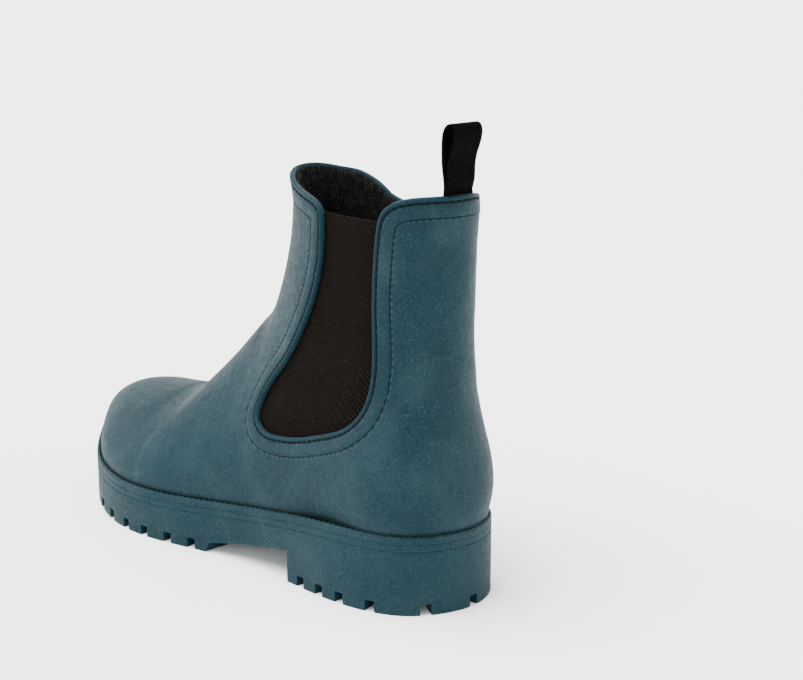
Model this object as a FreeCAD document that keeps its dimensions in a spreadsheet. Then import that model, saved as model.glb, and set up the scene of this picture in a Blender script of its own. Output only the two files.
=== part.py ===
import FreeCAD, Part
import math
import os
from FreeCAD import Vector

# Rubber Chelsea rain boot, left foot.
# Design frame: heel centre at x = 0, +X to the toe, +Y to the outer side, +Z up, ground at z = 0.
# Every sub-part is moved at the end by the same Placement, so that the model's origin
# lies under the middle of the boot.

os.makedirs("parts", exist_ok=True)
doc = FreeCAD.newDocument("rain_boot")

# ---------------------------------------------------------------- driving dimensions
SIZES = {
    "centre_x": 103.6,          # the model's origin lies this far in front of the heel centre
    "centre_y": 1.0,            # and this far to its inner side
    "shell_wall": 2.4,
    "stiffener_depth": 1.4,     # the toe puff starts this far inside the outer skin
    "lining_wall": 1.3,
    "shell_floor": 2.0,
    "board_wall": 2.0,
    "footbed_wall": 5.0,
    "welt_drop": 3.5,           # height of the welt strip
    "welt_ledge": 2.3,          # width of the ledge outside the upper
    "hidden_drop": 9.0,         # how far the upper's form runs down inside the sole
    "sole_stock": 45.0,
    "tread_depth": 5.4,
    "notch_mouth": 5.6,
    "notch_root": 3.6,
    "notch_reach": 13.0,
    "tread_groove": 4.5,
    "tread_rim": 15.0,
    "heel_breast": 15.3,
    "core_length": 46.0,
    "core_width": 42.0,
    "core_bottom": 9.0,
    "core_top": 29.0,
    "shank_width": 13.0,
    "shank_wall": 1.6,
    "shank_start": 12.0,
    "shank_end": 118.0,
    "gore_overlap": 7.0,
    "gore_top": 176.5,
    "stitch_inset": 2.4,
    "stitch_pitch": 3.7,
    "stitch_length": 2.7,
    "stitch_thick": 0.9,
    "stitch_sink": 0.35,
    "tape_width": 16.5,
    "tape_fold": 2.4,
    "loop_pivot_x": -29.2,
    "loop_pivot_z": 190.2,
    "anchor_top": 188.2,
    "anchor_length": 21.0,
    "tack_width": 12.0,
    "tack_height": 2.4,
    "tack_wall": 1.5,
}

sheet = doc.addObject("Spreadsheet::Sheet", "sizes")
for row, (name, value) in enumerate(SIZES.items(), start=1):
    sheet.set(f"A{row}", name)
    sheet.set(f"B{row}", str(value))
    sheet.setAlias(f"B{row}", name)
doc.recompute()


def size(name):
    return float(getattr(sheet, name))


# ---------------------------------------------------------------- curves that shape the boot
# Edge of the sole seen from above, from the heel's back round the outer side to the toe and home.
SOLE_PLAN = [
    (-36.5, 0), (-25.8, 25.8), (0, 36.8), (30, 38), (70, 36.8), (105, 41.8), (140, 49.2),
    (172, 47.2), (199, 37), (221, 20.5), (238, 3), (245.5, -14), (240, -30), (223, -43),
    (195, -50.5), (160, -51), (125, -44.5), (90, -35.5), (60, -33), (30, -37), (0, -36.8),
    (-25.8, -25.8)]
WELT_TOP = [(-60, 37.2), (-10, 37.2), (15, 36.5), (35, 34.6), (55, 31.6), (80, 28.4), (105, 26.2),
            (130, 25.2), (160, 25.0), (185, 26.2), (205, 28.4), (225, 31.8), (245, 36), (270, 36)]
SOLE_BOTTOM = [(104, 0), (160, 0), (185, 1.4), (205, 3.8), (225, 7.6), (245, 11.5), (270, 11.5)]
# Middle line of the upper, seen from above: the shaft and the instep lean to the inner side.
MID_LINE = [(-60, 0), (-20, 0), (0, -0.3), (30, -2.6), (70, -6.1), (110, -8.8), (150, -9.5),
            (200, -10), (246, -14)]
# Front profile of the upper in the middle plane, from the toe's foot to the shaft's top.
FRONT_PROFILE = [(242.5, 25), (242.6, 38), (238, 46), (227, 54), (211, 59), (190, 62), (170, 65.5),
                 (150, 72), (130, 83), (112, 98), (97, 116), (87, 134), (80, 151), (76.5, 166),
                 (75.3, 182), (75.6, 200)]
# Back profile: x of the heel's and shaft's back at each height.
BACK_PROFILE = [(20, -34.5), (37, -35), (45, -37.6), (52, -38.3), (62, -37.5), (80, -33.5),
                (100, -30.2), (125, -28.3), (150, -29), (175, -31.5), (200, -34.2)]
# Half width of the heel and the shaft at each height.
SHAFT_HALF_WIDTH = [(20, 34.4), (37, 34.6), (45, 36.8), (55, 37.6), (70, 36.4), (90, 33.6),
                    (115, 30.6), (150, 28.8), (180, 29), (200, 29.6)]
# Depth, along a section, over which its front is rounded; by station.
FRONT_ROUNDING = [(-145, 52), (-90, 54), (-60, 62), (-30, 56), (0, 46)]
BACK_ROUNDING = 34.5
PIVOT = (150.0, 150.0)      # the sections fan about this point, in front of the instep
SHAFT_TOP = 200.0
# Free edge of the shell in side view: front top line, gore opening, back top line.
FREE_EDGE = [
    (76.5, 192), (62, 187.2), (48, 184), (35.5, 181.6), (29.5, 177.8), (28.6, 170), (29.7, 157.2),
    (33.4, 143), (38.6, 131), (46.5, 117.5), (57.5, 102.5), (68, 90.5), (72.6, 81), (72, 73.5),
    (66, 69.2), (55, 68.6), (40, 71), (22.6, 76.2), (7, 82.6), (-2.2, 91), (-5.6, 101),
    (-6, 115), (-4.6, 140), (-5.6, 160), (-7.2, 172), (-9.3, 179.4), (-13.6, 184.2), (-20, 187),
    (-28, 188.1), (-37, 188.2)]


def smooth(points):
    """A monotone cubic curve y(x) through a few points."""
    xs = [float(p[0]) for p in points]
    ys = [float(p[1]) for p in points]
    steps = [xs[i + 1] - xs[i] for i in range(len(xs) - 1)]
    slopes = [(ys[i + 1] - ys[i]) / steps[i] for i in range(len(steps))]
    tangents = [slopes[0]]
    for i in range(1, len(slopes)):
        a, b = slopes[i - 1], slopes[i]
        if a * b <= 0:
            tangents.append(0.0)
        else:
            w1 = 2 * steps[i] + steps[i - 1]
            w2 = steps[i] + 2 * steps[i - 1]
            tangents.append((w1 + w2) / (w1 / a + w2 / b))
    tangents.append(slopes[-1])

    def value(x):
        x = min(max(x, xs[0]), xs[-1])
        i = 0
        while i < len(steps) - 1 and x > xs[i + 1]:
            i += 1
        t = (x - xs[i]) / steps[i]
        h00 = (1 + 2 * t) * (1 - t) ** 2
        h10 = t * (1 - t) ** 2
        h01 = t * t * (3 - 2 * t)
        h11 = t * t * (t - 1)
        return (h00 * ys[i] + h10 * steps[i] * tangents[i]
                + h01 * ys[i + 1] + h11 * steps[i] * tangents[i + 1])
    return value


def linear(points):
    """A straight-line table lookup y(x)."""
    def value(x):
        if x <= points[0][0]:
            return points[0][1]
        for (x0, y0), (x1, y1) in zip(points, points[1:]):
            if x <= x1:
                return y0 + (y1 - y0) * (x - x0) / (x1 - x0) if x1 > x0 else y1
        return points[-1][1]
    return value


def spline(points, closed=False):
    curve = Part.BSplineCurve()
    curve.interpolate(Points=[Vector(*p) for p in points], PeriodicFlag=closed)
    return curve


welt_top = smooth(WELT_TOP)
mid_line = smooth(MID_LINE)
back_x = smooth(BACK_PROFILE)
shaft_half = smooth(SHAFT_HALF_WIDTH)
front_rounding = smooth(FRONT_ROUNDING)


def feather(x):
    """Height at which the upper's wall meets the welt."""
    return welt_top(x) - 0.7


# Inner and outer plan edges of the upper's foot: the sole's edge less the welt ledge.
plan_curve = spline([(x, y, 0) for x, y in SOLE_PLAN], closed=True)
plan_steps = 360
first, last = plan_curve.FirstParameter, plan_curve.LastParameter
foot_edge = []
for i in range(plan_steps):
    parameter = first + (last - first) * i / plan_steps
    place = plan_curve.value(parameter)
    along = plan_curve.tangent(parameter)[0]
    foot_edge.append(place + Vector(along.y, -along.x, 0) * size("welt_ledge"))
toe_tip = max(foot_edge, key=lambda p: p.x)
heel_tip = min(foot_edge, key=lambda p: p.x)


def foot_side(sign):
    split = linear([(heel_tip.x, heel_tip.y), (60, 1), (180, -3), (toe_tip.x, toe_tip.y)])
    points = sorted((p.x, p.y) for p in foot_edge if (p.y - split(p.x)) * sign >= -0.01)
    return linear(points)


foot_outer = foot_side(1)
foot_inner = foot_side(-1)

HIDDEN = size("hidden_drop")


def ease(value):
    value = min(max(value, 0.0), 1.0)
    return value * value * (3 - 2 * value)


def quarter_round(value):
    """Height of a quarter circle, 0 at its start and 1 from its crown on."""
    value = min(max(value, 0.0), 1.0)
    return math.sqrt(max(1 - (1 - value) ** 2, 0.0))


def fan_angle(x, z):
    return math.degrees(math.atan2(z - PIVOT[1], x - PIVOT[0])) % 360 - 270


def fan_radius(points):
    """Distance from the pivot to a profile, by the angle of the section's plane."""
    return linear(sorted((fan_angle(x, z), math.hypot(x - PIVOT[0], z - PIVOT[1]))
                         for x, z in points))


def inset_profile(points, depth):
    """Profile points moved to the left of their direction of travel."""
    moved = []
    for i, (x, z) in enumerate(points):
        x0, z0 = points[max(i - 1, 0)]
        x1, z1 = points[min(i + 1, len(points) - 1)]
        length = math.hypot(x1 - x0, z1 - z0)
        moved.append((x - depth * (z1 - z0) / length, z + depth * (x1 - x0) / length))
    return moved


class UpperForm:
    """The boot's upper as a filled form, its surface a given depth inside the outer skin."""

    def __init__(self, depth):
        self.depth = depth
        curve = spline([(x, 0, z) for x, z in FRONT_PROFILE])
        front = inset_profile([(p.x, p.z) for p in curve.discretize(500)], depth)
        self.front_tip = max(x for x, z in front)
        self.top_of_foot = linear(sorted((x, z) for x, z in front if x > PIVOT[0] - 5 and z > 36))
        self.front_of_shaft = linear(sorted((z, x) for x, z in front if x < 100 and z > 110))
        self.front_fan = fan_radius([(x, z) for x, z in front
                                     if x <= PIVOT[0] + 0.4 and z <= PIVOT[1] + 0.4])
        steps = 300
        low = feather(-35) - HIDDEN + depth
        lower = [(PIVOT[0] + 0.5 - i * (PIVOT[0] - self.back(low)) / steps, 0) for i in range(steps)]
        lower = [(x, self.bottom(x)) for x, z in lower]
        lower += [(self.back(low + i * (PIVOT[1] + 0.5 - low) / steps),
                   low + i * (PIVOT[1] + 0.5 - low) / steps) for i in range(steps + 1)]
        self.rear_fan = fan_radius(lower)

    def bottom(self, x):
        return feather(x) - HIDDEN + self.depth

    def back(self, z):
        return back_x(z) + self.depth

    def ends(self, station):
        """Front and rear ends of a section in the middle plane.

        Stations above 0 are upright planes that far in front of the pivot, from 0 to -90
        they are planes turned by that many degrees about it, and below -90 level planes."""
        if station >= 0:
            x = PIVOT[0] + station
            return (x, self.top_of_foot(x)), (x, self.bottom(x))
        if station >= -90:
            turn = math.radians(270 + station)
            near, far = self.front_fan(station), self.rear_fan(station)
            return ((PIVOT[0] + near * math.cos(turn), PIVOT[1] + near * math.sin(turn)),
                    (PIVOT[0] + far * math.cos(turn), PIVOT[1] + far * math.sin(turn)))
        z = PIVOT[1] - 90 - station
        return (self.front_of_shaft(z), z), (self.back(z), z)

    def half_width(self, x, z, sign):
        edge = foot_outer(x) if sign > 0 else foot_inner(x)
        bulge = 1 + 0.03 * min(max((z - feather(x)) / 12, 0), 1)
        foot = abs(edge - mid_line(x)) * bulge
        shaft = shaft_half(z)
        rise = ease((z - feather(x) - 4) / 62)
        forward = ease((x - 10) / 45)
        blended = foot * (1 - rise) + shaft * rise
        return max(shaft * (1 - forward) + blended * forward - self.depth, 1.0)

    def point(self, station, turn):
        """Surface point of a section; turn runs from -pi to pi, 0 at the front."""
        sign = 1 if turn >= 0 else -1
        (x0, z0), (x1, z1) = self.ends(station)
        length = math.hypot(x1 - x0, z1 - z0)
        share = (1 - math.cos(turn)) / 2
        x = x0 + (x1 - x0) * share
        z = z0 + (z1 - z0) * share
        visible = max(length - HIDDEN + self.depth, 3.0)
        rounding = visible if station >= 0 else min(front_rounding(station), length)
        roundness = quarter_round(share * length / rounding)
        roundness *= quarter_round((x - self.back(min(z, SHAFT_TOP))) / BACK_ROUNDING)
        if x > self.back(z) + 1 and z < feather(x):
            roundness *= quarter_round((z - self.bottom(x)) / (HIDDEN - 4))
        return Vector(x, mid_line(x) + sign * self.half_width(x, z, sign) * roundness, z)


outer_skin = UpperForm(0.0)


def skin(station, turn):
    return outer_skin.point(station, turn)


def skin_normal(station, turn):
    d_station = skin(station + 0.3, turn) - skin(station - 0.3, turn)
    d_turn = skin(station, turn + 0.01) - skin(station, turn - 0.01)
    normal = d_station.cross(d_turn)
    normal.normalize()
    return normal


# ---------------------------------------------------------------- reference forms
STATIONS = ([80, 73, 65, 55, 43, 30, 16, 4] + [-4 - 4 * i for i in range(22)]
            + [-97, -109, -123, -140])
RING_POINTS = 36
MEETING = 22                # the foot's and the shaft's lofts share this section


def form_section(form, station):
    """Closed ring of surface points of one section."""
    ring = [form.point(station, math.pi * (2 * (i + 0.5) / RING_POINTS - 1))
            for i in range(RING_POINTS)]
    curve = Part.BSplineCurve()
    curve.interpolate(Points=ring, PeriodicFlag=True)
    return Part.Wire(curve.toShape())


def loft_between(name, sections):
    loft = doc.addObject("Part::Loft", name)
    loft.Sections = sections
    loft.Solid = True
    loft.Ruled = True
    loft.Closed = False
    return loft


def make_form(name, depth):
    """Solid filled form of the boot's upper, depth inside its outer surface.

    The foot and the shaft are lofted apart, because the sections turn through a right angle,
    and share the section where they meet."""
    upper = UpperForm(depth)
    tip = upper.front_tip - PIVOT[0] - 0.4
    sections = []
    for i, station in enumerate([tip, tip - 1.6, tip - 4.5] + STATIONS):
        section = doc.addObject("Part::Feature", f"{name}_section_{i}")
        section.Shape = form_section(upper, station)
        sections.append(section)
    form = doc.addObject("Part::Fuse", name)
    form.Base = loft_between(name + "_foot", sections[:MEETING + 1])
    form.Tool = loft_between(name + "_shaft", sections[MEETING:])
    return form


outer_form = make_form("outer_form", 0.0)
stiffener_form = make_form("stiffener_form", size("stiffener_depth"))
shell_inner_form = make_form("shell_inner_form", size("shell_wall"))
lining_inner_form = make_form("lining_inner_form", size("shell_wall") + size("lining_wall"))
tape_form = make_form("tape_form", size("shell_wall") + size("lining_wall") + size("tape_fold"))


def prism(name, runs, low=-80.0, high=80.0):
    """Side-view outline swept along Y: each run of (x, z) points is one curve, or one straight
    line if it has two points, and straight lines close the gaps between runs."""
    edges = []
    ends = []
    for run in runs:
        points = [Vector(x, low, z) for x, z in run]
        if len(points) > 2:
            curve = Part.BSplineCurve()
            curve.interpolate(Points=points)
            edges.append(curve.toShape())
        else:
            edges.append(Part.makeLine(points[0], points[-1]))
        ends.append((points[0], points[-1]))
    for (_, end), (start, _) in zip(ends, ends[1:] + ends[:1]):
        if (end - start).Length > 1e-6:
            edges.append(Part.makeLine(end, start))
    wire = doc.addObject("Part::Feature", name + "_outline")
    wire.Shape = Part.Wire(Part.__sortEdges__(edges))
    return extruded(name, wire, high - low)


def box(name, low, high):
    block = doc.addObject("Part::Box", name)
    block.Length, block.Width, block.Height = (h - l for l, h in zip(low, high))
    block.Placement.Base = Vector(*low)
    return block


def extruded(name, wire, length):
    block = doc.addObject("Part::Extrusion", name)
    block.Base = wire
    block.DirMode = "Custom"
    block.Dir = Vector(0, 1, 0)
    block.LengthFwd = length
    block.Solid = True
    return block


def level_curve(height):
    """Points along the boot at a height above the sole's top face."""
    drop = size("welt_drop")
    xs = [-60 + 6 * i for i in range(56)]
    return [(x, welt_top(x) - drop + height) for x in xs]


def level_edge(height, low):
    points = [Vector(x, low, z) for x, z in level_curve(height)]
    curve = Part.BSplineCurve()
    curve.interpolate(Points=points)
    return curve.toShape()


def band(name, bottom, top):
    """Layer between two heights above the sole's top face; top None reaches the ceiling."""
    low = -80.0
    lower = level_edge(bottom, low)
    start, end = lower.Vertexes[0].Point, lower.Vertexes[-1].Point
    if top is None:
        corners = [end, Vector(end.x, low, 260), Vector(start.x, low, 260), start]
        edges = [lower, Part.makePolygon(corners)]
        edges = [lower] + edges[1].Edges
    else:
        upper = level_edge(top, low)
        u0, u1 = upper.Vertexes[0].Point, upper.Vertexes[-1].Point
        edges = [lower, Part.makeLine(end, u1), upper, Part.makeLine(u0, start)]
    wire = doc.addObject("Part::Feature", name + "_outline")
    wire.Shape = Part.Wire(Part.__sortEdges__(edges))
    return extruded(name, wire, 160.0)


def boolean(kind, name, base, tool):
    result = doc.addObject("Part::" + kind, name)
    result.Base = base
    result.Tool = tool
    return result


def cut(name, base, tool):
    return boolean("Cut", name, base, tool)


def common(name, base, tool):
    return boolean("Common", name, base, tool)


def fuse(name, shapes):
    result = doc.addObject("Part::MultiFuse", name)
    result.Shapes = shapes
    return result


# ---------------------------------------------------------------- openings, seen from the side
def free_edge(count):
    """The shell's free edge as (x, z) points, from the front top line to the rear one."""
    curve = spline([(x, 0, z) for x, z in FREE_EDGE])
    return [(p.x, p.z) for p in curve.discretize(count)]


def gore_run(points):
    """Numbers of the first and last points of the gore's part of the free edge."""
    low = min(range(len(points)), key=lambda i: points[i][1])
    start = max(i for i in range(low) if points[i][1] > 174)
    stop = min(i for i in range(low, len(points)) if points[i][1] > 174)
    return start, stop


def grown_gore():
    """The gore's opening grown by its hidden margin, from rear to front."""
    points = free_edge(61)
    start, stop = gore_run(points)
    moved = inset_profile(points[start:stop + 1][::-1], -size("gore_overlap"))
    return [(x, z) for x, z in moved if z < size("gore_top") - 2]


SKY = 240.0
edge = free_edge(61)
open_zone = prism("open_zone", [edge, [(-70, edge[-1][1]), (-70, SKY)], [(110, SKY), (110, edge[0][1])]])
above_floor = band("above_floor", 0.0, None)
above_inside = band("above_inside", size("shell_floor"), None)
lining_foot = size("shell_floor") + size("board_wall")
above_board = band("above_board", lining_foot, None)

# ---------------------------------------------------------------- shell and its toe stiffener
outer_block = common("outer_block", outer_form, above_floor)
inner_block = common("inner_block", shell_inner_form, above_inside)

TOE_PUFF_START = 196.0
toe_reach = box("toe_reach", (TOE_PUFF_START, -80, 10), (260, 80, 90))
stiff_block = common("stiff_block", stiffener_form, above_inside)
toe_zone = common("toe_zone", stiff_block, toe_reach)
toe_puff = cut("toe_puff", toe_zone, inner_block)

shell_toe = cut("shell_toe", outer_block, toe_zone)
shell_closed = cut("shell_closed", shell_toe, inner_block)
upper_shell = cut("upper_shell", shell_closed, open_zone)

# ---------------------------------------------------------------- linings and gores
lining_block = common("lining_block", shell_inner_form, above_board)
lining_skin = cut("lining_skin", lining_block, lining_inner_form)
LINING_DROP = 1.5
grown = grown_gore()
front_top = [(x, z - LINING_DROP) for x, z in edge if z > 178 and x > grown[-1][0] + 1]
rear_top = [(x, z - LINING_DROP) for x, z in edge if z > 180 and x < grown[0][0] - 1]
gore_top = size("gore_top")
gores = {}
for node, low, high in (("lateral_gore", 0.0, 80.0), ("medial_gore", -80.0, 0.0)):
    zone = prism(node + "_zone", [grown, [(grown[-1][0], gore_top), (grown[0][0], gore_top)]],
                 low, high)
    gores[node] = common(node, lining_skin, zone)
lining_zone = prism("lining_zone", [front_top, grown[::-1], rear_top,
                                    [(-70, rear_top[-1][1]), (-70, SKY)],
                                    [(110, SKY), (110, front_top[0][1])]])
lining_open = cut("lining_open", lining_skin, lining_zone)
LINING_SEAM = 44.0          # below the gore; above it the seam is the gore itself
front_reach = prism("front_reach", [[(LINING_SEAM, 0), (LINING_SEAM, 100)], [(15, 110), (15, SKY + 1)],
                                    [(260, SKY + 1), (260, 0)]])
front_lining = common("front_lining", lining_open, front_reach)
rear_lining = cut("rear_lining", lining_open, front_reach)

# ---------------------------------------------------------------- boards inside
board_band = band("board_band", size("shell_floor"), lining_foot)
insole_board = common("insole_board", shell_inner_form, board_band)
footbed_band = band("footbed_band", lining_foot, lining_foot + size("footbed_wall"))
footbed = common("footbed", lining_inner_form, footbed_band)


# ---------------------------------------------------------------- sole unit
def sketch_on(body, role, name):
    sketch = body.newObject("Sketcher::SketchObject", name)
    plane = [f for f in body.Origin.OriginFeatures if f.Role == role][0]
    sketch.AttachmentSupport = (plane, [""])
    sketch.MapMode = "FlatFace"
    return sketch


plan_body = doc.addObject("PartDesign::Body", "plan_body")
plan_sketch = sketch_on(plan_body, "XY_Plane", "plan_sketch")
plan_sketch.addGeometry(plan_curve, False)
plan_pad = plan_body.newObject("PartDesign::Pad", "plan_pad")
plan_pad.Profile = plan_sketch
plan_pad.setExpression("Length", "sizes.sole_stock")

sole_bottom = smooth(SOLE_BOTTOM)
ARCH_FRONT = (99.0, 5.4)
BREAST_X = 43.5


def sole_side(name, top_run, rise):
    """Side outline between the sole's underside, raised by rise, and a run of top points."""
    forefoot = [(x, sole_bottom(x) + rise) for x in range(102, 271, 12)]
    heel = [(-60, rise), (BREAST_X, rise)]
    arch = [(BREAST_X, size("heel_breast")), (60, 12.6), (80, 8.9), ARCH_FRONT]
    return prism(name, [heel, arch, forefoot, top_run])


sole_profile = sole_side("sole_profile", level_curve(0.0)[::-1], 0.0)
sole_block = common("sole_block", plan_body, sole_profile)


def inset_edge(inset):
    """Closed plan curve inside the sole's edge."""
    points = []
    for i in range(72):
        parameter = first + (last - first) * i / 72
        place = plan_curve.value(parameter)
        along = plan_curve.tangent(parameter)[0]
        points.append(place + Vector(along.y, -along.x, 0) * inset)
    return spline([(p.x, p.y, -3) for p in points], closed=True)


def notch(place, along):
    """Trapezoid cutter across the sole's edge, open at the bottom."""
    inward = Vector(along.y, -along.x, 0)
    low = sole_bottom(place.x) - 2
    high = sole_bottom(place.x) + size("tread_depth")
    mouth, root = size("notch_mouth") / 2, size("notch_root") / 2
    corners = [(-mouth, low), (mouth, low), (root, high), (-root, high)]
    start = place - inward * 3
    points = [start + along * a + Vector(0, 0, z) for a, z in corners]
    face = Part.Face(Part.makePolygon(points + points[:1]))
    return face.extrude(inward * (size("notch_reach") + 3))


def nearest_parameter(x, sign):
    """Parameter of the sole's edge at an x on one side."""
    best = None
    for i in range(2000):
        parameter = first + (last - first) * i / 2000
        place = plan_curve.value(parameter)
        if place.y * sign < -2:
            continue
        if best is None or abs(place.x - x) < abs(best[1] - x):
            best = (parameter, place.x)
    return best[0]


HEEL_SIDE_NOTCHES = [6.6, 20.5, 33.5]
HEEL_REAR_ANGLES = [74.4, 32.3, -5.5, -44.0, -87.3]
FOREFOOT_FIRST, FOREFOOT_PITCH = 111.0, 15.6


def notch_places():
    parameters = [nearest_parameter(x, 1) for x in HEEL_SIDE_NOTCHES]
    parameters += [nearest_parameter(x, -1) for x in HEEL_SIDE_NOTCHES[1:]]
    for angle in HEEL_REAR_ANGLES:
        turn = math.radians(angle)
        aim = Vector(-math.cos(turn) * 40, math.sin(turn) * 40, 0)
        parameters.append(plan_curve.parameter(aim))
    start, stop = nearest_parameter(FOREFOOT_FIRST, 1), nearest_parameter(FOREFOOT_FIRST, -1)
    length = plan_curve.length(start, stop)
    count = round(length / FOREFOOT_PITCH)
    for i in range(count + 1):
        parameters.append(plan_curve.parameterAtDistance(i * length / count, start))
    return [(plan_curve.value(p), plan_curve.tangent(p)[0]) for p in parameters]


def tread_cutters():
    """Notches round the edge, a groove inside them and bars across the middle."""
    rim, groove = size("tread_rim"), size("tread_groove")
    outer_wire = Part.Wire(inset_edge(rim).toShape())
    inner_wire = Part.Wire(inset_edge(rim + groove).toShape())
    ring = Part.Face([outer_wire, inner_wire]).extrude(Vector(0, 0, 30))
    island = Part.Face(inner_wire).extrude(Vector(0, 0, 30))
    bars = []
    for x in [-14, 3, 20, 36] + [114 + 15.5 * i for i in range(8)]:
        bars.append(Part.makeBox(groove, 120, 30, Vector(x - groove / 2, -60, -3)))
    cutters = [ring] + [island.common(bar) for bar in bars]
    cutters += [notch(place, along) for place, along in notch_places()]
    return Part.makeCompound(cutters)


tread = doc.addObject("Part::Feature", "tread")
tread.Shape = tread_cutters()
tread_zone = sole_side("tread_zone", [(258, -20), (-60, -20)], size("tread_depth"))
tread_tool = common("tread_tool", tread, tread_zone)

CORE_START = -24.0


def core_block(name):
    block = box(name, (CORE_START, -size("core_width") / 2, size("core_bottom")), (0, 0, 40))
    block.setExpression("Length", "sizes.core_length")
    block.setExpression("Width", "sizes.core_width")
    block.setExpression("Height", "sizes.core_top - sizes.core_bottom")
    return block


heel_core = core_block("heel_core")
core_pocket = core_block("core_pocket")
shank_band = band("shank_band", -size("shank_wall"), 0.0)
shank_reach = box("shank_reach", (size("shank_start"), -3 - size("shank_width") / 2, 0),
                  (size("shank_end"), -3 + size("shank_width") / 2, 60))
shank = common("shank", shank_band, shank_reach)
shank_pocket = common("shank_pocket", shank_band, shank_reach)
sole_pockets = fuse("sole_pockets", [tread_tool, core_pocket, shank_pocket])
outsole = cut("outsole", sole_block, sole_pockets)

welt_band = band("welt_band", 0.0, size("welt_drop"))
welt_block = common("welt_block", plan_body, welt_band)
welt_strip = cut("welt_strip", welt_block, outer_form)

# ---------------------------------------------------------------- pull loop
pivot_x, pivot_z = size("loop_pivot_x"), size("loop_pivot_z")
half_tape = size("tape_width") / 2
# Side-view outlines of the loop: two layers of tape that part towards the top and lean back.
LOOP_OUTSIDE = [
    (-29.1, 188.9), (-28.4, 189.4), (-29.0, 191.2), (-29.5, 193.4), (-28.9, 197), (-28.4, 201),
    (-28.2, 206), (-28.4, 212), (-29.4, 216.3), (-31.3, 218.7), (-33.5, 219.4), (-35.6, 218.6),
    (-36.7, 216.2), (-36.5, 213), (-35.5, 209.8), (-34.1, 206.3), (-33.1, 203), (-32.6, 199),
    (-32.6, 195.5), (-32.0, 192.2), (-30.9, 190.2), (-30.0, 189.2)]
LOOP_INSIDE = [
    (-30.9, 195.8), (-30.0, 197.6), (-29.45, 201), (-29.25, 206), (-29.45, 211.7), (-30.3, 215.5),
    (-31.7, 217.6), (-33.5, 218.35), (-35.0, 217.7), (-35.65, 216), (-35.45, 213.4), (-34.5, 210.3),
    (-33.1, 206.9), (-32.1, 203.4), (-31.6, 199.6), (-31.5, 197.2)]


def loop_outline(points):
    return spline([(x, z, 0) for x, z in points], closed=True)


loop_body = doc.addObject("PartDesign::Body", "pull_loop")
loop_sketch = sketch_on(loop_body, "XZ_Plane", "loop_sketch")
loop_sketch.addGeometry(loop_outline(LOOP_OUTSIDE), False)
loop_sketch.addGeometry(loop_outline(LOOP_INSIDE), False)
loop_pad = loop_body.newObject("PartDesign::Pad", "loop_pad")
loop_pad.Profile = loop_sketch
loop_pad.setExpression("Length", "sizes.tape_width")
loop_pad.Midplane = True

tape_skin = cut("tape_skin", lining_inner_form, tape_form)
anchor_reach = box("anchor_reach",
                   (-60, -half_tape, size("anchor_top") - size("anchor_length")),
                   (0, half_tape, size("anchor_top")))
anchor = common("pull_loop_anchor", tape_skin, anchor_reach)
tack_top = size("anchor_top") - 1.2
tack_depth = size("shell_wall") + size("lining_wall") + size("tape_fold") + size("tack_wall")
tack_reach = box("tack_reach",
                 (pivot_x, -size("tack_width") / 2, tack_top - size("tack_height")),
                 (back_x(tack_top) + tack_depth, size("tack_width") / 2, tack_top))
loop_bar_tack = common("loop_bar_tack", tack_reach, tape_form)


# ---------------------------------------------------------------- stitching
def station_of(x, z):
    if x >= PIVOT[0]:
        return x - PIVOT[0]
    if z >= PIVOT[1]:
        return -90 - (z - PIVOT[1])
    return fan_angle(x, z)


def skin_place(x, z, sign):
    """Station and turn of the skin point over a side-view point, or None outside the form."""
    station = station_of(x, z)
    (x0, z0), (x1, z1) = outer_skin.ends(station)
    length = math.hypot(x1 - x0, z1 - z0)
    share = ((x - x0) * (x1 - x0) + (z - z0) * (z1 - z0)) / length ** 2
    if not 0 <= share <= 1:
        return None
    return station, sign * math.acos(1 - 2 * share)


def skin_slopes(station, turn):
    d_station = (skin(station + 0.2, turn) - skin(station - 0.2, turn)) * 2.5
    d_turn = (skin(station, turn + 0.01) - skin(station, turn - 0.01)) * 50
    return d_station, d_turn


def walk(place, step):
    """Move a skin place by a small step along the surface."""
    station, turn = place
    for _ in range(4):
        a, b = skin_slopes(station, turn)
        part = step * 0.25
        aa, bb, ab = a.dot(a), b.dot(b), a.dot(b)
        det = aa * bb - ab * ab
        station += (part.dot(a) * bb - part.dot(b) * ab) / det
        turn += (part.dot(b) * aa - part.dot(a) * ab) / det
    return station, turn


def stitch(place, along):
    """One thread float lying along the skin."""
    normal = skin_normal(*place)
    along = (along - normal * along.dot(normal)).normalize()
    side = normal.cross(along)
    length, thick = size("stitch_length"), size("stitch_thick")
    corner = skin(*place) - along * (length / 2) - side * (thick / 2)
    corner = corner - normal * size("stitch_sink")
    points = [corner, corner + along * length, corner + along * length + side * thick,
              corner + side * thick]
    return Part.Face(Part.makePolygon(points + points[:1])).extrude(normal * thick)


def stitch_row(places, inward):
    """Stitches at an even pitch along a run of edge places, set in from the edge."""
    points = [skin(*p) for p in places]
    travelled = [0.0]
    for p, q in zip(points, points[1:]):
        travelled.append(travelled[-1] + (q - p).Length)
    pitch = size("stitch_pitch")
    count = max(int(travelled[-1] / pitch), 1)
    row = []
    for k in range(count):
        goal = (k + 0.5) * travelled[-1] / count
        i = max(j for j in range(len(travelled) - 1) if travelled[j] <= goal)
        along = (points[i + 1] - points[i]).normalize()
        normal = skin_normal(*places[i])
        step = normal.cross(along) * (inward * size("stitch_inset"))
        row.append(stitch(walk(places[i], step), along))
    return row


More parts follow.
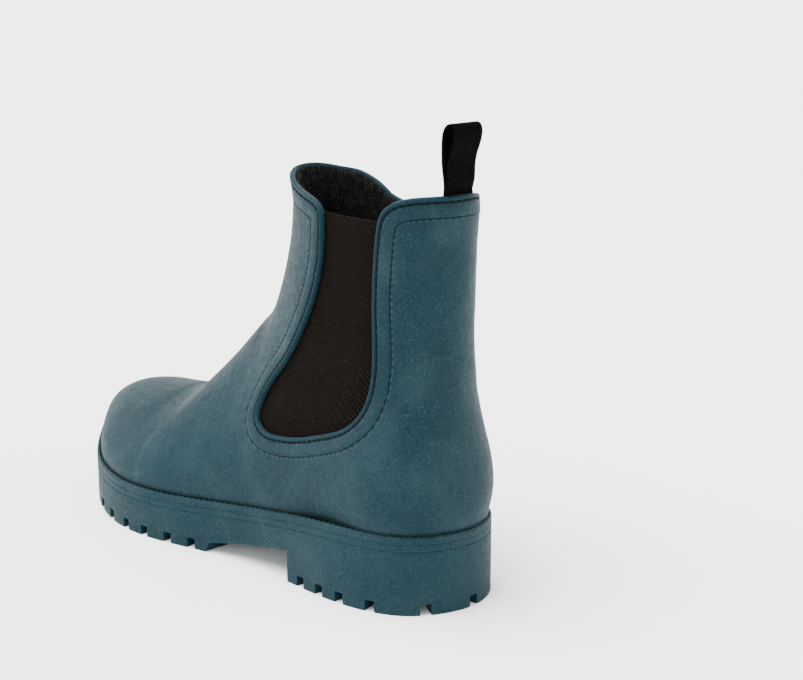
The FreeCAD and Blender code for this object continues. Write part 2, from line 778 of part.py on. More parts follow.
def edge_places(sign):
    """Skin places along the free edge of one side, split into front, gore and rear runs."""
    curve = free_edge(200)
    low = min(range(len(curve)), key=lambda i: curve[i][1])
    corner_front = max(i for i in range(low) if curve[i][1] > 178.5)
    corner_rear = min(i for i in range(low, len(curve)) if curve[i][1] > 180.0)
    runs = {"front": [], "gore": [], "rear": []}
    for i, (x, z) in enumerate(curve):
        place = skin_place(x, z, sign)
        if place is None:
            continue
        run = "front" if i < corner_front else "gore" if i < corner_rear else "rear"
        runs[run].append(place)
    return runs


def stitching():
    rows = {"front": [], "rear": [], 1: [], -1: []}
    for sign in (1, -1):
        runs = edge_places(sign)
        rows["front"] += stitch_row(runs["front"], -sign)
        rows["rear"] += stitch_row(runs["rear"], -sign)
        rows[sign] += stitch_row(runs["gore"], -sign)
    return rows


thread_rows = stitching()
THREADS = {"front_topline_stitching": "front", "rear_topline_stitching": "rear",
           "lateral_gore_stitching": 1, "medial_gore_stitching": -1}
threads = {}
for node, key in THREADS.items():
    threads[node] = doc.addObject("Part::Feature", node)
    threads[node].Shape = Part.makeCompound(thread_rows[key])

# ---------------------------------------------------------------- nodes, placement and files
NODES = {"outsole": outsole, "welt_strip": welt_strip, "heel_core": heel_core, "shank": shank,
         "upper_shell": upper_shell, "toe_puff": toe_puff,
         "front_lining": front_lining, "rear_lining": rear_lining, **gores,
         "insole_board": insole_board, "footbed": footbed, "pull_loop": loop_body,
         "pull_loop_anchor": anchor, "loop_bar_tack": loop_bar_tack, **threads}
SHIFT = Vector(-size("centre_x"), size("centre_y"), 0)
for node, part in NODES.items():
    part.Label = node
    part.Placement = FreeCAD.Placement(part.Placement.Base + SHIFT, part.Placement.Rotation)
doc.recompute()

for item in doc.Objects:
    if "Invalid" in item.State or "Error" in item.State:
        raise RuntimeError(f"{item.Name} did not recompute: {item.State}")
for node, part in NODES.items():
    if part.Shape.isNull() or not part.Shape.isValid() or not part.Shape.Solids:
        raise RuntimeError(f"{node} has no valid solid")
    part.Shape.exportStep(f"parts/{node}.step")
    print(f"{node}: {len(part.Shape.Solids)} solid(s), {part.Shape.Volume:.1f} mm3")
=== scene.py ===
import math

import bmesh
import bpy
import numpy as np
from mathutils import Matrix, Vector, kdtree
from mathutils.geometry import delaunay_2d_cdt


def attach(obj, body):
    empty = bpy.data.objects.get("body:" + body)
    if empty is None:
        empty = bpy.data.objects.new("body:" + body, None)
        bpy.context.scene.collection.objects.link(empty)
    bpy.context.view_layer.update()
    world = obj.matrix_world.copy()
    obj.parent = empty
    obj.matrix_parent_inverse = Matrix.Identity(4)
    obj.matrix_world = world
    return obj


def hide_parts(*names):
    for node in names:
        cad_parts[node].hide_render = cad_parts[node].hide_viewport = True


# Rubber Chelsea rain boot, left foot, in metres in the CAD's frame.
# The shape functions below work in millimetres in the design frame: heel centre at x = 0,
# +X to the toe, +Y to the outer side, +Z up. placed() turns them into the model's metres.

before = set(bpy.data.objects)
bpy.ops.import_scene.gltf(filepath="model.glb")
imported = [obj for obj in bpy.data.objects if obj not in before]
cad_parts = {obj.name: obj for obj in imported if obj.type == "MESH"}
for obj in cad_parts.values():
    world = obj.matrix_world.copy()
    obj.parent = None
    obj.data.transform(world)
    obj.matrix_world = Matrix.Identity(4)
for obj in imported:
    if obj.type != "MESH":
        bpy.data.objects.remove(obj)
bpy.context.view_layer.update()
scene = bpy.context.scene

MM = 0.001
SHIFT = np.array([-103.6, 1.0, 0.0])

# Small ways in which the made-up boot departs from the even form, in millimetres:
# how much higher the inner side's rim stands than the outer side's, by the place along the boot,
INNER_RIM = [(-33, 0), (-28, -0.9), (-22, -2.2), (-15, -3.2), (0, -3), (20, -4), (30, -5.5), (37, -5.5),
             (41, -5), (45, -2.8), (50, -0.2), (59, 1.7), (68, 0.6), (76, 0)]
# how far the instep stands out over its ridge line, by the place along the boot,
INSTEP = [(88, 0), (95, 1.0), (100, 2.5), (106, 3.4), (112, 3.6), (120, 3.4), (128, 2.7), (134, 1.8),
          (140, 0.6), (146, -1.0), (152, -2.2), (158, -2.4), (165, -2.2), (173, -1.0), (185, -0.5),
          (200, 0)]
# and how far the inner rear quarter stands out, by height.
INNER_REAR = [(0, 2.3), (36, 2.3), (45, 0.8), (60, 0.6), (95, 0.4), (104, 1.0), (114, 1.7), (125, 2.1),
              (140, 2.6), (155, 2.5), (165, 1.9), (178, 1.5), (186, 0.6), (190, 0)]


def placed(points):
    """Design millimetres to model metres, with the small unevennesses worked in."""
    points = np.array(points, float)
    x, y, z = points.T
    inner = ease((-y - 2) / 12) * ease((z - 150) / 30)
    flare = 1.4 * ease((z - 178) / 13) * ease((x - 48) / 16) * ease((y + 8) / 10)
    proud = smooth(INSTEP)(x) * ease((z / ridge_height(x) - 0.5) / 0.5)
    toward = (5 - x - y) / np.maximum(np.hypot(x - 5, y), 1) * 0.707
    rear = smooth(INNER_REAR)(z) * ease((toward - 0.2) / 0.6)
    points[:, 0] += 0.7 * flare - 0.7 * rear + 0.9 * np.clip(proud, 0, None)
    points[:, 1] += 0.7 * flare - 0.7 * rear
    points[:, 2] += inner * smooth(INNER_RIM)(x) + proud
    return (points + SHIFT) * MM


# ---------------------------------------------------------------- camera
CAMERA_PLACE = (-513.2, 506.4, 293.2)
CAMERA_AIM = (0.6947, -0.6797, -0.2353)
CAMERA_LENS, CAMERA_SENSOR = 73.44, 36.0
camera_data = bpy.data.cameras.new("camera")
camera_data.sensor_fit = "HORIZONTAL"
camera_data.sensor_width = CAMERA_SENSOR
camera_data.lens = CAMERA_LENS
camera_data.clip_start = 0.02
camera_data.clip_end = 20.0
camera = bpy.data.objects.new("camera", camera_data)
scene.collection.objects.link(camera)
camera.location = (np.array(CAMERA_PLACE) + SHIFT) * MM
camera.rotation_euler = Vector(CAMERA_AIM).to_track_quat("-Z", "Y").to_euler()
scene.camera = camera

# ---------------------------------------------------------------- curves that shape the boot
# Outline of the sole from above, from the heel's back along the outer side.
SOLE_PLAN = [
    (-36.5, 0), (-25.8, 25.8), (0, 36.8), (30, 38), (70, 36.8), (105, 41.8), (140, 49.2),
    (172, 47.2), (199, 37), (221, 20.5), (238, 3), (245.5, -14), (240, -30), (223, -43),
    (195, -50.5), (160, -51), (125, -44.5), (90, -35.5), (60, -33), (30, -37), (0, -36.8),
    (-25.8, -25.8)]
# Heights along the boot: the welt's top, and the underside with its toe spring.
WELT_TOP = [(-60, 37.2), (-10, 37.2), (15, 36.5), (35, 34.6), (55, 31.6), (80, 28.4), (105, 26.2),
            (130, 25.2), (160, 25.0), (185, 26.2), (205, 28.4), (225, 31.8), (245, 36), (270, 36)]
SOLE_BOTTOM = [(104, 0), (160, 0), (185, 1.4), (205, 3.8), (225, 7.6), (245, 11.5), (270, 11.5)]
# Middle line of the last, y along the boot.
MID_LINE = [(-60, 0), (-20, 0), (0, -0.3), (30, -2.6), (70, -6.1), (110, -8.8), (150, -9.5),
            (200, -10), (246, -14)]
# Side view of the front, from the toe up the instep to above the rim.
FRONT_PROFILE = [(242.5, 25), (242.6, 38), (238, 46), (227, 54), (211, 59), (190, 62), (170, 65.5),
                 (150, 72), (130, 83), (112, 98), (97, 116), (87, 134), (80, 151), (76.5, 166),
                 (75.3, 182), (75.6, 200)]
# By height: the back line's place along the boot, and half the width of the shaft.
BACK_PROFILE = [(20, -34.5), (37, -35), (45, -37.6), (52, -38.3), (62, -37.5), (80, -33.5),
                (100, -30.2), (125, -28.3), (150, -29), (175, -31.5), (200, -34.2)]
SHAFT_HALF_WIDTH = [(20, 34.4), (37, 34.6), (45, 36.8), (55, 37.6), (70, 36.4), (90, 33.6),
                    (115, 30.6), (150, 28.8), (180, 29), (200, 29.6)]
# How far back from the front ridge the sections take to reach their full width, by station.
FRONT_ROUNDING = [(-145, 52), (-90, 54), (-60, 62), (-30, 56), (0, 46)]
BACK_ROUNDING = 34.5
PIVOT = (150.0, 150.0)
# Side view of the upper's free edge: the front rim, round the gore's opening, the rear rim.
FREE_EDGE = [
    (76.5, 192), (62, 187.2), (48, 184), (35.5, 181.6), (29.5, 177.8), (28.6, 170), (29.7, 157.2),
    (33.4, 143), (38.6, 131), (46.5, 117.5), (57.5, 102.5), (68, 90.5), (72.6, 81), (72, 73.5),
    (66, 69.2), (55, 68.6), (40, 71), (22.6, 76.2), (7, 82.6), (-2.2, 91), (-5.6, 101),
    (-6, 115), (-4.6, 140), (-5.6, 160), (-7.2, 172), (-9.3, 179.4), (-13.6, 184.2), (-20, 187),
    (-28, 188.1), (-37, 188.2)]
WELT_LEDGE = 2.3      # how far the welt stands out past the upper
WELT_DROP = 3.5       # from the welt's top to the sole's top
HIDDEN = 9.0          # how far the upper's form goes on below the welt's top
SHELL_WALL = 2.4
LINING_WALL = 1.3
GORE_MARGIN = 7.0     # how far the gore goes on behind the shell
GORE_TOP = 176.5
SHELL_SPACING, LINING_SPACING, GORE_SPACING = 2.3, 3.0, 1.0


def smooth(points):
    """A monotone cubic curve y(x) through a few points, for arrays of x."""
    xs, ys = np.array(points, float).T
    gap = np.diff(xs)
    slope = np.diff(ys) / gap
    lean = np.zeros(len(xs))
    lean[0], lean[-1] = slope[0], slope[-1]
    before, after = slope[:-1], slope[1:]
    same = before * after > 0
    w1, w2 = 2 * gap[1:] + gap[:-1], gap[1:] + 2 * gap[:-1]
    safe_before, safe_after = np.where(same, before, 1), np.where(same, after, 1)
    lean[1:-1] = np.where(same, (w1 + w2) / (w1 / safe_before + w2 / safe_after), 0)

    def value(x):
        x = np.clip(x, xs[0], xs[-1])
        i = np.clip(np.searchsorted(xs, x) - 1, 0, len(gap) - 1)
        t = (x - xs[i]) / gap[i]
        return ((1 + 2 * t) * (1 - t) ** 2 * ys[i] + t * (1 - t) ** 2 * gap[i] * lean[i]
                + t * t * (3 - 2 * t) * ys[i + 1] + t * t * (t - 1) * gap[i] * lean[i + 1])
    return value


def spline(points, count, closed=False):
    """Points along a cubic curve through a few points; a closed one doesn't repeat its first."""
    p = np.array(points, float)
    if closed:
        p = np.vstack([p, p[:1]])
    gap = np.linalg.norm(np.diff(p, axis=0), axis=1)
    n = len(p)
    rows, right = np.zeros((n, n)), np.zeros((n, p.shape[1]))
    pull = np.diff(p, axis=0) / gap[:, None]
    for i in range(1, n - 1):
        rows[i, i - 1:i + 2] = gap[i - 1], 2 * (gap[i - 1] + gap[i]), gap[i]
        right[i] = 6 * (pull[i] - pull[i - 1])
    if closed:
        rows[0, 0], rows[0, -1] = 1, -1
        rows[-1, 0], rows[-1, 1], rows[-1, -2] = 2 * (gap[-1] + gap[0]), gap[0], gap[-1]
        right[-1] = 6 * (pull[0] - pull[-1])
    else:
        rows[0, 0] = rows[-1, -1] = 1
    bend = np.linalg.solve(rows, right)
    ends = np.concatenate([[0], np.cumsum(gap)])
    t = np.linspace(0, ends[-1], count, endpoint=not closed)
    i = np.clip(np.searchsorted(ends, t) - 1, 0, n - 2)
    h, a, b = gap[i][:, None], (t - ends[i])[:, None], (ends[i + 1] - t)[:, None]
    return (bend[i] * b ** 3 / (6 * h) + bend[i + 1] * a ** 3 / (6 * h)
            + (p[i] / h - bend[i] * h / 6) * b + (p[i + 1] / h - bend[i + 1] * h / 6) * a)


def run_lengths(points):
    """How far along a polyline each of its points is."""
    return np.concatenate([[0], np.cumsum(np.linalg.norm(np.diff(points, axis=0), axis=1))])


def evenly(points, spacing, places=None):
    """Resample a polyline at an even spacing; places are values that go with its points."""
    far = run_lengths(points)
    count = max(int(round(far[-1] / spacing)), 2) + 1
    goal = np.linspace(0, far[-1], count)
    source = points if places is None else places
    return np.stack([np.interp(goal, far, column) for column in np.asarray(source, float).T], 1)


def ease(value):
    value = np.clip(value, 0, 1)
    return value * value * (3 - 2 * value)


def quarter_round(value):
    """A quarter circle's height, from 0 at 0 to 1 at 1."""
    return np.sqrt(np.clip(1 - (1 - np.clip(value, 0, 1)) ** 2, 0, 1))


welt_top, sole_bottom, mid_line = smooth(WELT_TOP), smooth(SOLE_BOTTOM), smooth(MID_LINE)
back_x, shaft_half = smooth(BACK_PROFILE), smooth(SHAFT_HALF_WIDTH)
front_rounding = smooth(FRONT_ROUNDING)
# Height of the instep's ridge line by the place along the boot.
ridge_height = smooth([p for p in FRONT_PROFILE[::-1] if 77 < p[0] < 240])


def feather(x):
    """Height of the upper's foot, a little below the welt's top."""
    return welt_top(x) - 0.7


def plan_ring(inset, count=720):
    """The sole's edge seen from above, moved inward, with the inward direction at each point."""
    ring = spline(SOLE_PLAN, 4000, closed=True)
    closed = np.vstack([ring, ring[:1]])
    far = run_lengths(closed)
    goal = np.linspace(0, far[-1], count, endpoint=False)
    ring = np.stack([np.interp(goal, far, closed[:, k]) for k in (0, 1)], 1)
    along = np.roll(ring, -1, axis=0) - np.roll(ring, 1, axis=0)
    along /= np.linalg.norm(along, axis=1)[:, None]
    inward = np.stack([along[:, 1], -along[:, 0]], 1)
    return ring + inward * inset, inward


foot_ring, _ = plan_ring(WELT_LEDGE, 1440)
TOE_TIP = foot_ring[foot_ring[:, 0].argmax()]
HEEL_TIP = foot_ring[foot_ring[:, 0].argmin()]


def foot_side(sign):
    """The foot ring's outer or inner edge, y by x."""
    split = np.interp(foot_ring[:, 0], [HEEL_TIP[0], 60, 180, TOE_TIP[0]],
                      [HEEL_TIP[1], 1, -3, TOE_TIP[1]])
    points = foot_ring[(foot_ring[:, 1] - split) * sign >= -0.01]
    points = points[points[:, 0].argsort()]
    return lambda x: np.interp(x, points[:, 0], points[:, 1])


foot_outer, foot_inner = foot_side(1), foot_side(-1)


def fan_angle(x, z):
    """The station of the fan section that a side-view point is on."""
    return np.degrees(np.arctan2(z - PIVOT[1], x - PIVOT[0])) % 360 - 270


def inset_profile(points, depth):
    """A side-view line moved to its left by a depth."""
    before, after = np.roll(points, 1, axis=0), np.roll(points, -1, axis=0)
    before[0], after[-1] = points[0], points[-1]
    along = after - before
    along /= np.linalg.norm(along, axis=1)[:, None]
    return points + depth * np.stack([-along[:, 1], along[:, 0]], 1)


class UpperForm:
    """The outer skin of the boot's upper, by station and turn.

    Stations above 0 are upright sections that far in front of the pivot, from 0 to -90 they
    fan about it by that many degrees, and below -90 they are level. The turn goes round a
    section from 0 at the front ridge to pi at the back or below, less than 0 on the inner side."""

    def __init__(self):
        front = spline(FRONT_PROFILE, 900)
        toe = front[(front[:, 0] > PIVOT[0] - 5) & (front[:, 1] > 36)]
        self.toe = toe[toe[:, 0].argsort()]
        shaft = front[(front[:, 0] < 100) & (front[:, 1] > 110)]
        self.shaft = shaft[shaft[:, 1].argsort()]
        near = front[(front[:, 0] <= PIVOT[0] + 0.4) & (front[:, 1] <= PIVOT[1] + 0.4)]
        self.near = self.by_angle(near)
        low = self.bottom(-35)
        xs = np.linspace(PIVOT[0] + 0.5, back_x(low), 500)
        zs = np.linspace(low, PIVOT[1] + 0.5, 500)
        self.far = self.by_angle(np.vstack([np.stack([xs, self.bottom(xs)], 1),
                                            np.stack([back_x(zs), zs], 1)]))

    @staticmethod
    def by_angle(points):
        """Angle and distance of points about the pivot, in order of angle."""
        angle = fan_angle(points[:, 0], points[:, 1])
        order = angle.argsort()
        return angle[order], np.hypot(points[:, 0] - PIVOT[0], points[:, 1] - PIVOT[1])[order]

    @staticmethod
    def bottom(x):
        return feather(x) - HIDDEN

    def ends(self, station):
        """The front and back ends of a section, as x and z of each."""
        station = np.asarray(station, float)
        x_up = PIVOT[0] + np.clip(station, 0, None)
        turn = np.radians(270 + np.clip(station, -90, 0))
        near, far = (np.interp(np.clip(station, -90, 0), *table) for table in (self.near, self.far))
        z_level = PIVOT[1] - 90 - np.clip(station, None, -90)
        up, fan = station >= 0, (station < 0) & (station >= -90)
        x0 = np.select([up, fan], [x_up, PIVOT[0] + near * np.cos(turn)],
                       np.interp(z_level, self.shaft[:, 1], self.shaft[:, 0]))
        z0 = np.select([up, fan], [np.interp(x_up, self.toe[:, 0], self.toe[:, 1]),
                                   PIVOT[1] + near * np.sin(turn)], z_level)
        x1 = np.select([up, fan], [x_up, PIVOT[0] + far * np.cos(turn)], back_x(z_level))
        z1 = np.select([up, fan], [self.bottom(x_up), PIVOT[1] + far * np.sin(turn)], z_level)
        return x0, z0, x1, z1

    def half_width(self, x, z, sign):
        """From the middle line to the side: the foot's width below, the shaft's above."""
        edge = np.where(sign > 0, foot_outer(x), foot_inner(x))
        bulge = 1 + 0.03 * np.clip((z - feather(x)) / 12, 0, 1)
        foot = np.abs(edge - mid_line(x)) * bulge
        shaft = shaft_half(z)
        rise = ease((z - feather(x) - 4) / 62)
        forward = ease((x - 10) / 45)
        wide = shaft * (1 - forward) + (foot * (1 - rise) + shaft * rise) * forward
        closing = np.sqrt(np.clip((TOE_TIP[0] - x) / 0.3, 0, 1))
        return np.clip(wide, 0, None) * closing

    def point(self, station, turn):
        """Points of the skin at some places."""
        station, turn = np.broadcast_arrays(np.asarray(station, float), np.asarray(turn, float))
        sign = np.where(turn >= 0, 1.0, -1.0)
        x0, z0, x1, z1 = self.ends(station)
        length = np.hypot(x1 - x0, z1 - z0)
        share = (1 - np.cos(turn)) / 2
        x, z = x0 + (x1 - x0) * share, z0 + (z1 - z0) * share
        visible = np.clip(length - HIDDEN, 3.0, None)
        rounding = np.where(station >= 0, visible, np.minimum(front_rounding(station), length))
        roundness = quarter_round(share * length / rounding)
        roundness = roundness * quarter_round((x - back_x(np.minimum(z, 200.0))) / BACK_ROUNDING)
        return np.stack([x, mid_line(x) + sign * self.half_width(x, z, sign) * roundness, z], -1)

    def slopes(self, station, turn):
        """How the skin's point changes by station and by turn."""
        inside = np.clip(np.abs(turn), 0.012, math.pi - 0.012) * np.where(turn >= 0, 1, -1)
        by_station = (self.point(station + 0.2, turn) - self.point(station - 0.2, turn)) / 0.4
        by_turn = (self.point(station, inside + 0.01) - self.point(station, inside - 0.01)) / 0.02
        return by_station, by_turn

    def normal(self, station, turn):
        by_station, by_turn = self.slopes(station, turn)
        across = np.cross(by_station, by_turn)
        return across / np.maximum(np.linalg.norm(across, axis=-1), 1e-9)[..., None]

    def place_at(self, x, z):
        """Station and turn (0 to pi) of the surface point over a side-view point."""
        x, z = np.asarray(x, float), np.asarray(z, float)
        station = np.select([x >= PIVOT[0], z >= PIVOT[1]], [x - PIVOT[0], -90 - (z - PIVOT[1])],
                            fan_angle(x, z))
        x0, z0, x1, z1 = self.ends(station)
        share = ((x - x0) * (x1 - x0) + (z - z0) * (z1 - z0)) / np.hypot(x1 - x0, z1 - z0) ** 2
        return station, np.arccos(1 - 2 * np.clip(share, 0, 1)), share

    def walk(self, station, turn, step):
        """Move places over the surface by small steps."""
        a, b = self.slopes(station, turn)
        aa, bb, ab = (a * a).sum(-1), (b * b).sum(-1), (a * b).sum(-1)
        sa, sb = (step * a).sum(-1), (step * b).sum(-1)
        det = np.maximum(aa * bb - ab * ab, 1e-9)
        return station + (sa * bb - sb * ab) / det, turn + (sb * aa - sa * ab) / det


skin = UpperForm()


# ---------------------------------------------------------------- mesh helpers
def new_object(name, points, faces):
    mesh = bpy.data.meshes.new(name)
    mesh.from_pydata([tuple(map(float, p)) for p in points], [], [tuple(map(int, f)) for f in faces])
    mesh.validate()
    mesh.update()
    mesh.shade_smooth()
    piece = bpy.data.objects.new(name, mesh)
    scene.collection.objects.link(piece)
    return piece


def make_object(name, points, faces, body="boot", node=None, slot=None):
    """A visible piece from design points, riding on a body in place of CAD nodes."""
    piece = new_object(name, placed(points), faces)
    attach(piece, body)
    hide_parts(*([node] if isinstance(node, str) else node))
    return piece


def add_value(piece, name, values, inside=None):
    """Store one number for each vertex, for the materials.

    A sheet's two faces share the values, unless inside is the number for its inner face."""
    numbers = np.asarray(values, np.float32)
    if len(piece.data.vertices) == 2 * len(numbers):
        behind = numbers if inside is None else np.full(len(numbers), inside, np.float32)
        numbers = np.concatenate([numbers, behind])
    piece.data.attributes.new(name, "FLOAT", "POINT").data.foreach_set("value", numbers)


def grid_faces(rows, columns, round_rows=False, round_columns=False):
    """Quads over rows of points; a round grid's last row or column joins its first."""
    faces = []
    for row in range(rows if round_rows else rows - 1):
        here, below = row * columns, (row + 1) % rows * columns
        for column in range(columns if round_columns else columns - 1):
            after = (column + 1) % columns
            faces.append([here + column, below + column, below + after, here + after])
    return faces


def face_outward(piece, merge=None):
    """Turn a closed piece's faces to point outward, after merging points nearer than merge."""
    tidy = bmesh.new()
    tidy.from_mesh(piece.data)
    if merge:
        bmesh.ops.remove_doubles(tidy, verts=tidy.verts, dist=merge * MM)
    bmesh.ops.recalc_face_normals(tidy, faces=tidy.faces)
    tidy.to_mesh(piece.data)
    tidy.free()


def point_tree(points):
    tree = kdtree.KDTree(len(points))
    for i, p in enumerate(points):
        tree.insert(p, i)
    tree.balance()
    return tree


def weld(points, faces, gap=0.02):
    """Merge points that coincide."""
    tree = point_tree(points)
    target = np.full(len(points), -1)
    keep = []
    for i, p in enumerate(points):
        if target[i] >= 0:
            continue
        for _, j, _ in tree.find_range(p, gap):
            if target[j] < 0:
                target[j] = len(keep)
        keep.append(i)
    faces = [[target[i] for i in f] for f in faces]
    return points[keep], [f for f in faces if len(set(f)) == len(f)]


def inside_loop(points, loop):
    """Which 2-D points lie inside a closed outline."""
    x, y = points[:, 0], points[:, 1]
    inside = np.zeros(len(points), bool)
    for (x0, y0), (x1, y1) in zip(loop, np.roll(loop, -1, axis=0)):
        crosses = (y0 > y) != (y1 > y)
        with np.errstate(divide="ignore", invalid="ignore"):
            inside ^= crosses & (x < (x1 - x0) * (y - y0) / (y1 - y0) + x0)
    return inside


def distance_to_line(points, line):
    """Distance from each point to a dense polyline, and how far along it the nearest point is."""
    tree = point_tree(line)
    far = run_lengths(line)
    found = [tree.find(p) for p in points]
    return np.array([f[2] for f in found]), far[[f[1] for f in found]]


class Chart:
    """A flat map of one side of the skin: U along the boot, V round it from the front ridge."""

    def __init__(self, form):
        self.tip = TOE_TIP[0] - PIVOT[0] - 0.02
        front = self.tip - 60 * (1 - np.cos(np.linspace(0, 1.2, 40)))
        back = np.linspace(front[-1], -140, 200)[1:]
        self.stations = np.concatenate([front, back])
        self.turns = np.linspace(0, math.pi, 181)
        grid = form.point(self.stations[:, None], self.turns[None])
        steps = np.linalg.norm(np.diff(grid, axis=1), axis=2)
        self.table = np.concatenate([np.zeros((len(grid), 1)), np.cumsum(steps, axis=1)], axis=1)
        self.along = run_lengths(grid[:, 62])

    def flat(self, station, turn):
        """Where a place lies on the chart."""
        rows, columns = self.stations[::-1], self.turns
        i = np.clip(np.searchsorted(rows, station) - 1, 0, len(rows) - 2)
        j = np.clip(np.searchsorted(columns, turn) - 1, 0, len(columns) - 2)
        s = np.clip((station - rows[i]) / (rows[i + 1] - rows[i]), 0, 1)
        t = np.clip((turn - columns[j]) / (columns[j + 1] - columns[j]), 0, 1)
        table = self.table[::-1]
        v = ((table[i, j] * (1 - s) + table[i + 1, j] * s) * (1 - t)
             + (table[i, j + 1] * (1 - s) + table[i + 1, j + 1] * s) * t)
        u = np.interp(station, rows, self.along[::-1])
        return np.stack([u, v], 1)

    def fill(self, spacing, keep):
        """Places all over the chart, in staggered rows; keep(places) picks among them."""
        places = []
        for k, u in enumerate(np.arange(spacing, self.along[-1], spacing * 0.87)):
            station = np.interp(u, self.along, self.stations)
            lengths = np.array([np.interp(station, self.stations[::-1], self.table[::-1, j])
                                for j in range(0, 181, 4)])
            v = np.arange(spacing * (0.75 if k % 2 else 1.25), lengths[-1] - spacing * 0.7, spacing)
            turn = np.interp(v, lengths, self.turns[::4])
            places.append(np.stack([np.full(len(v), station), turn], 1))
        places = np.vstack(places)
        return places[keep(places)]

    def mesh(self, lines, loose):
        """Triangles over the area that the lines enclose; returns places and faces."""
        places, edges = [], []
        start = 0
        for line in lines:
            places.append(line)
            edges += [(start + i, start + i + 1) for i in range(len(line) - 1)]
            start += len(line)
        places = np.vstack(places + [loose])
        flat = self.flat(*places.T)
        result = delaunay_2d_cdt([Vector(p) for p in flat], edges, [], 1, 1e-4)
        corners, _, faces, sources = result[:4]
        out = np.zeros((len(corners), 2))
        for i, found in enumerate(sources):
            if found:
                out[i] = places[found[0]]
            else:
                gap = np.linalg.norm(flat - np.array(corners[i]), axis=1)
                two = gap.argsort()[:2]
                weight = 1 / (gap[two] + 1e-6)
                out[i] = (places[two] * weight[:, None]).sum(0) / weight.sum()
        return out, [list(f) for f in faces]


# ---------------------------------------------------------------- the free edge and its rails
def outline_places(form, side):
    """Places under a side-view line that runs from the front ridge to the back line."""
    station, turn, share = form.place_at(*np.asarray(side, float).T)
    valid = (share >= 0) & (share <= 1)
    first, last = valid.argmax(), len(valid) - 1 - valid[::-1].argmax()
    places = np.stack([station, turn], 1)[first:last + 1]
    places[0, 1], places[-1, 1] = 0.0, math.pi
    return places


def outward_steps(form, places):
    """Unit steps over the surface away from the opening, square to the edge's direction."""
    points = form.point(*places.T)
    along = np.gradient(points, axis=0)
    along /= np.maximum(np.linalg.norm(along, axis=1), 1e-9)[:, None]
    return np.cross(along, form.normal(*places.T))


def rails(form, edge, distances, edge_line):
    """Lines at given distances from the free edge, trimmed where they would cross themselves."""
    places = edge
    directions = outward_steps(form, places)
    done, lines = 0.0, []
    for distance in distances:
        while done < distance - 1e-6:
            step = min(0.6, distance - done)
            moved = np.stack(form.walk(*places.T, directions * step), 1)
            moved[0, 1], moved[-1, 1] = 0.0, math.pi
            places = moved
            done += step
        line = places
        if distance > 3:
            far, _ = distance_to_line(form.point(*line.T), edge_line)
            keep = far > distance * 0.97 - 0.05
            keep[0] = keep[-1] = True
            line = line[keep]
        points = form.point(*line.T)
        line = evenly(points, 1.25, line)
        if distance > 3:
            for _ in range(5):
                line[1:-1] = (line[:-2] + 2 * line[1:-1] + line[2:]) / 4
        lines.append(line)
    return lines


def lower_boundary(form, chart, height):
    """Places where the surface meets a given height above the welt's top, toe to back line."""
    turns = np.linspace(0.02, math.pi, 700)

    def turn_at(station):
        points = form.point(np.full(700, station), turns)
        below = points[:, 2] - welt_top(points[:, 0]) - height < 0
        if not below.any():
            return None
        return turns[below.argmax()]
    stations = [s for s in np.linspace(-50, -75, 500) if turn_at(s) is not None]
    back = stations[-1] + 0.01
    run = chart.tip - 12 * np.linspace(0, 1, 40) ** 2
    run = np.concatenate([run, np.linspace(run[-1], 0, 60)[1:]])
    run = np.concatenate([run, np.linspace(0, back * 0.9, 60)[1:]])
    run = np.concatenate([run, back - back * 0.1 * np.linspace(1, 0, 60)[1:] ** 2])
    line = np.array([(s, turn_at(s)) for s in run])
    line[-1, 1] = math.pi
    return evenly(form.point(*line.T), 2.4, line)


# ---------------------------------------------------------------- rubber shell
RAIL_DISTANCES = [0.35, 0.8, 1.3, 1.75, 2.05, 2.4, 2.75, 3.1, 4.6, 6.6, 8.5, 8.85, 9.2, 9.55, 9.95, 12.0]
# Height of the moulded relief over the skin, by distance from the free edge: a rounded lip,
# the thread's groove, a flat band and the groove of the moulded seam.
RELIEF = [(0, -0.75), (0.35, -0.12), (0.8, 0.3), (1.3, 0.36), (1.75, 0.15), (2.05, -0.08),
          (2.4, -0.2), (2.75, -0.05), (3.1, 0.3), (4.6, 0.4), (8.5, 0.38), (8.85, 0.05),
          (9.2, -0.22), (9.55, 0.02), (9.95, 0.16), (12.0, 0.0)]
COUNTER_EDGE = [(49, 26), (47, 40), (40, 52), (26, 65), (8, 78), (-8, 93), (-18, 106), (-23.5, 113),
                (-26.5, 116.3), (-28.9, 117.4)]


def both_sides(form, places, faces):
    """The outer side's surface and its inner twin, welded along the ridge, keel and back."""
    station, turn = places.T
    outer, inner = form.point(station, turn), form.point(station, -turn)
    back = turn > math.pi - 1e-4
    outer[back, 1] = inner[back, 1] = mid_line(outer[back, 0])
    points = np.vstack([outer, inner])
    return points, [f[::-1] for f in faces] + [[i + len(outer) for i in f] for f in faces]


def vertex_normals(points, faces):
    """Unit normals of a mesh in design millimetres."""
    mesh = bpy.data.meshes.new("scratch")
    mesh.from_pydata([tuple(map(float, p)) for p in points], [], [tuple(map(int, f)) for f in faces])
    mesh.update()
    found = np.zeros(len(points) * 3, np.float32)
    mesh.vertex_normals.foreach_get("vector", found)
    bpy.data.meshes.remove(mesh)
    return found.reshape(-1, 3).astype(float)


def mirrored_mesh(places, faces):
    """Both sides of the boot from a chart's triangles: points, faces and normals."""
    points, faces = weld(*both_sides(skin, places, faces))
    return points, faces, vertex_normals(points, faces)


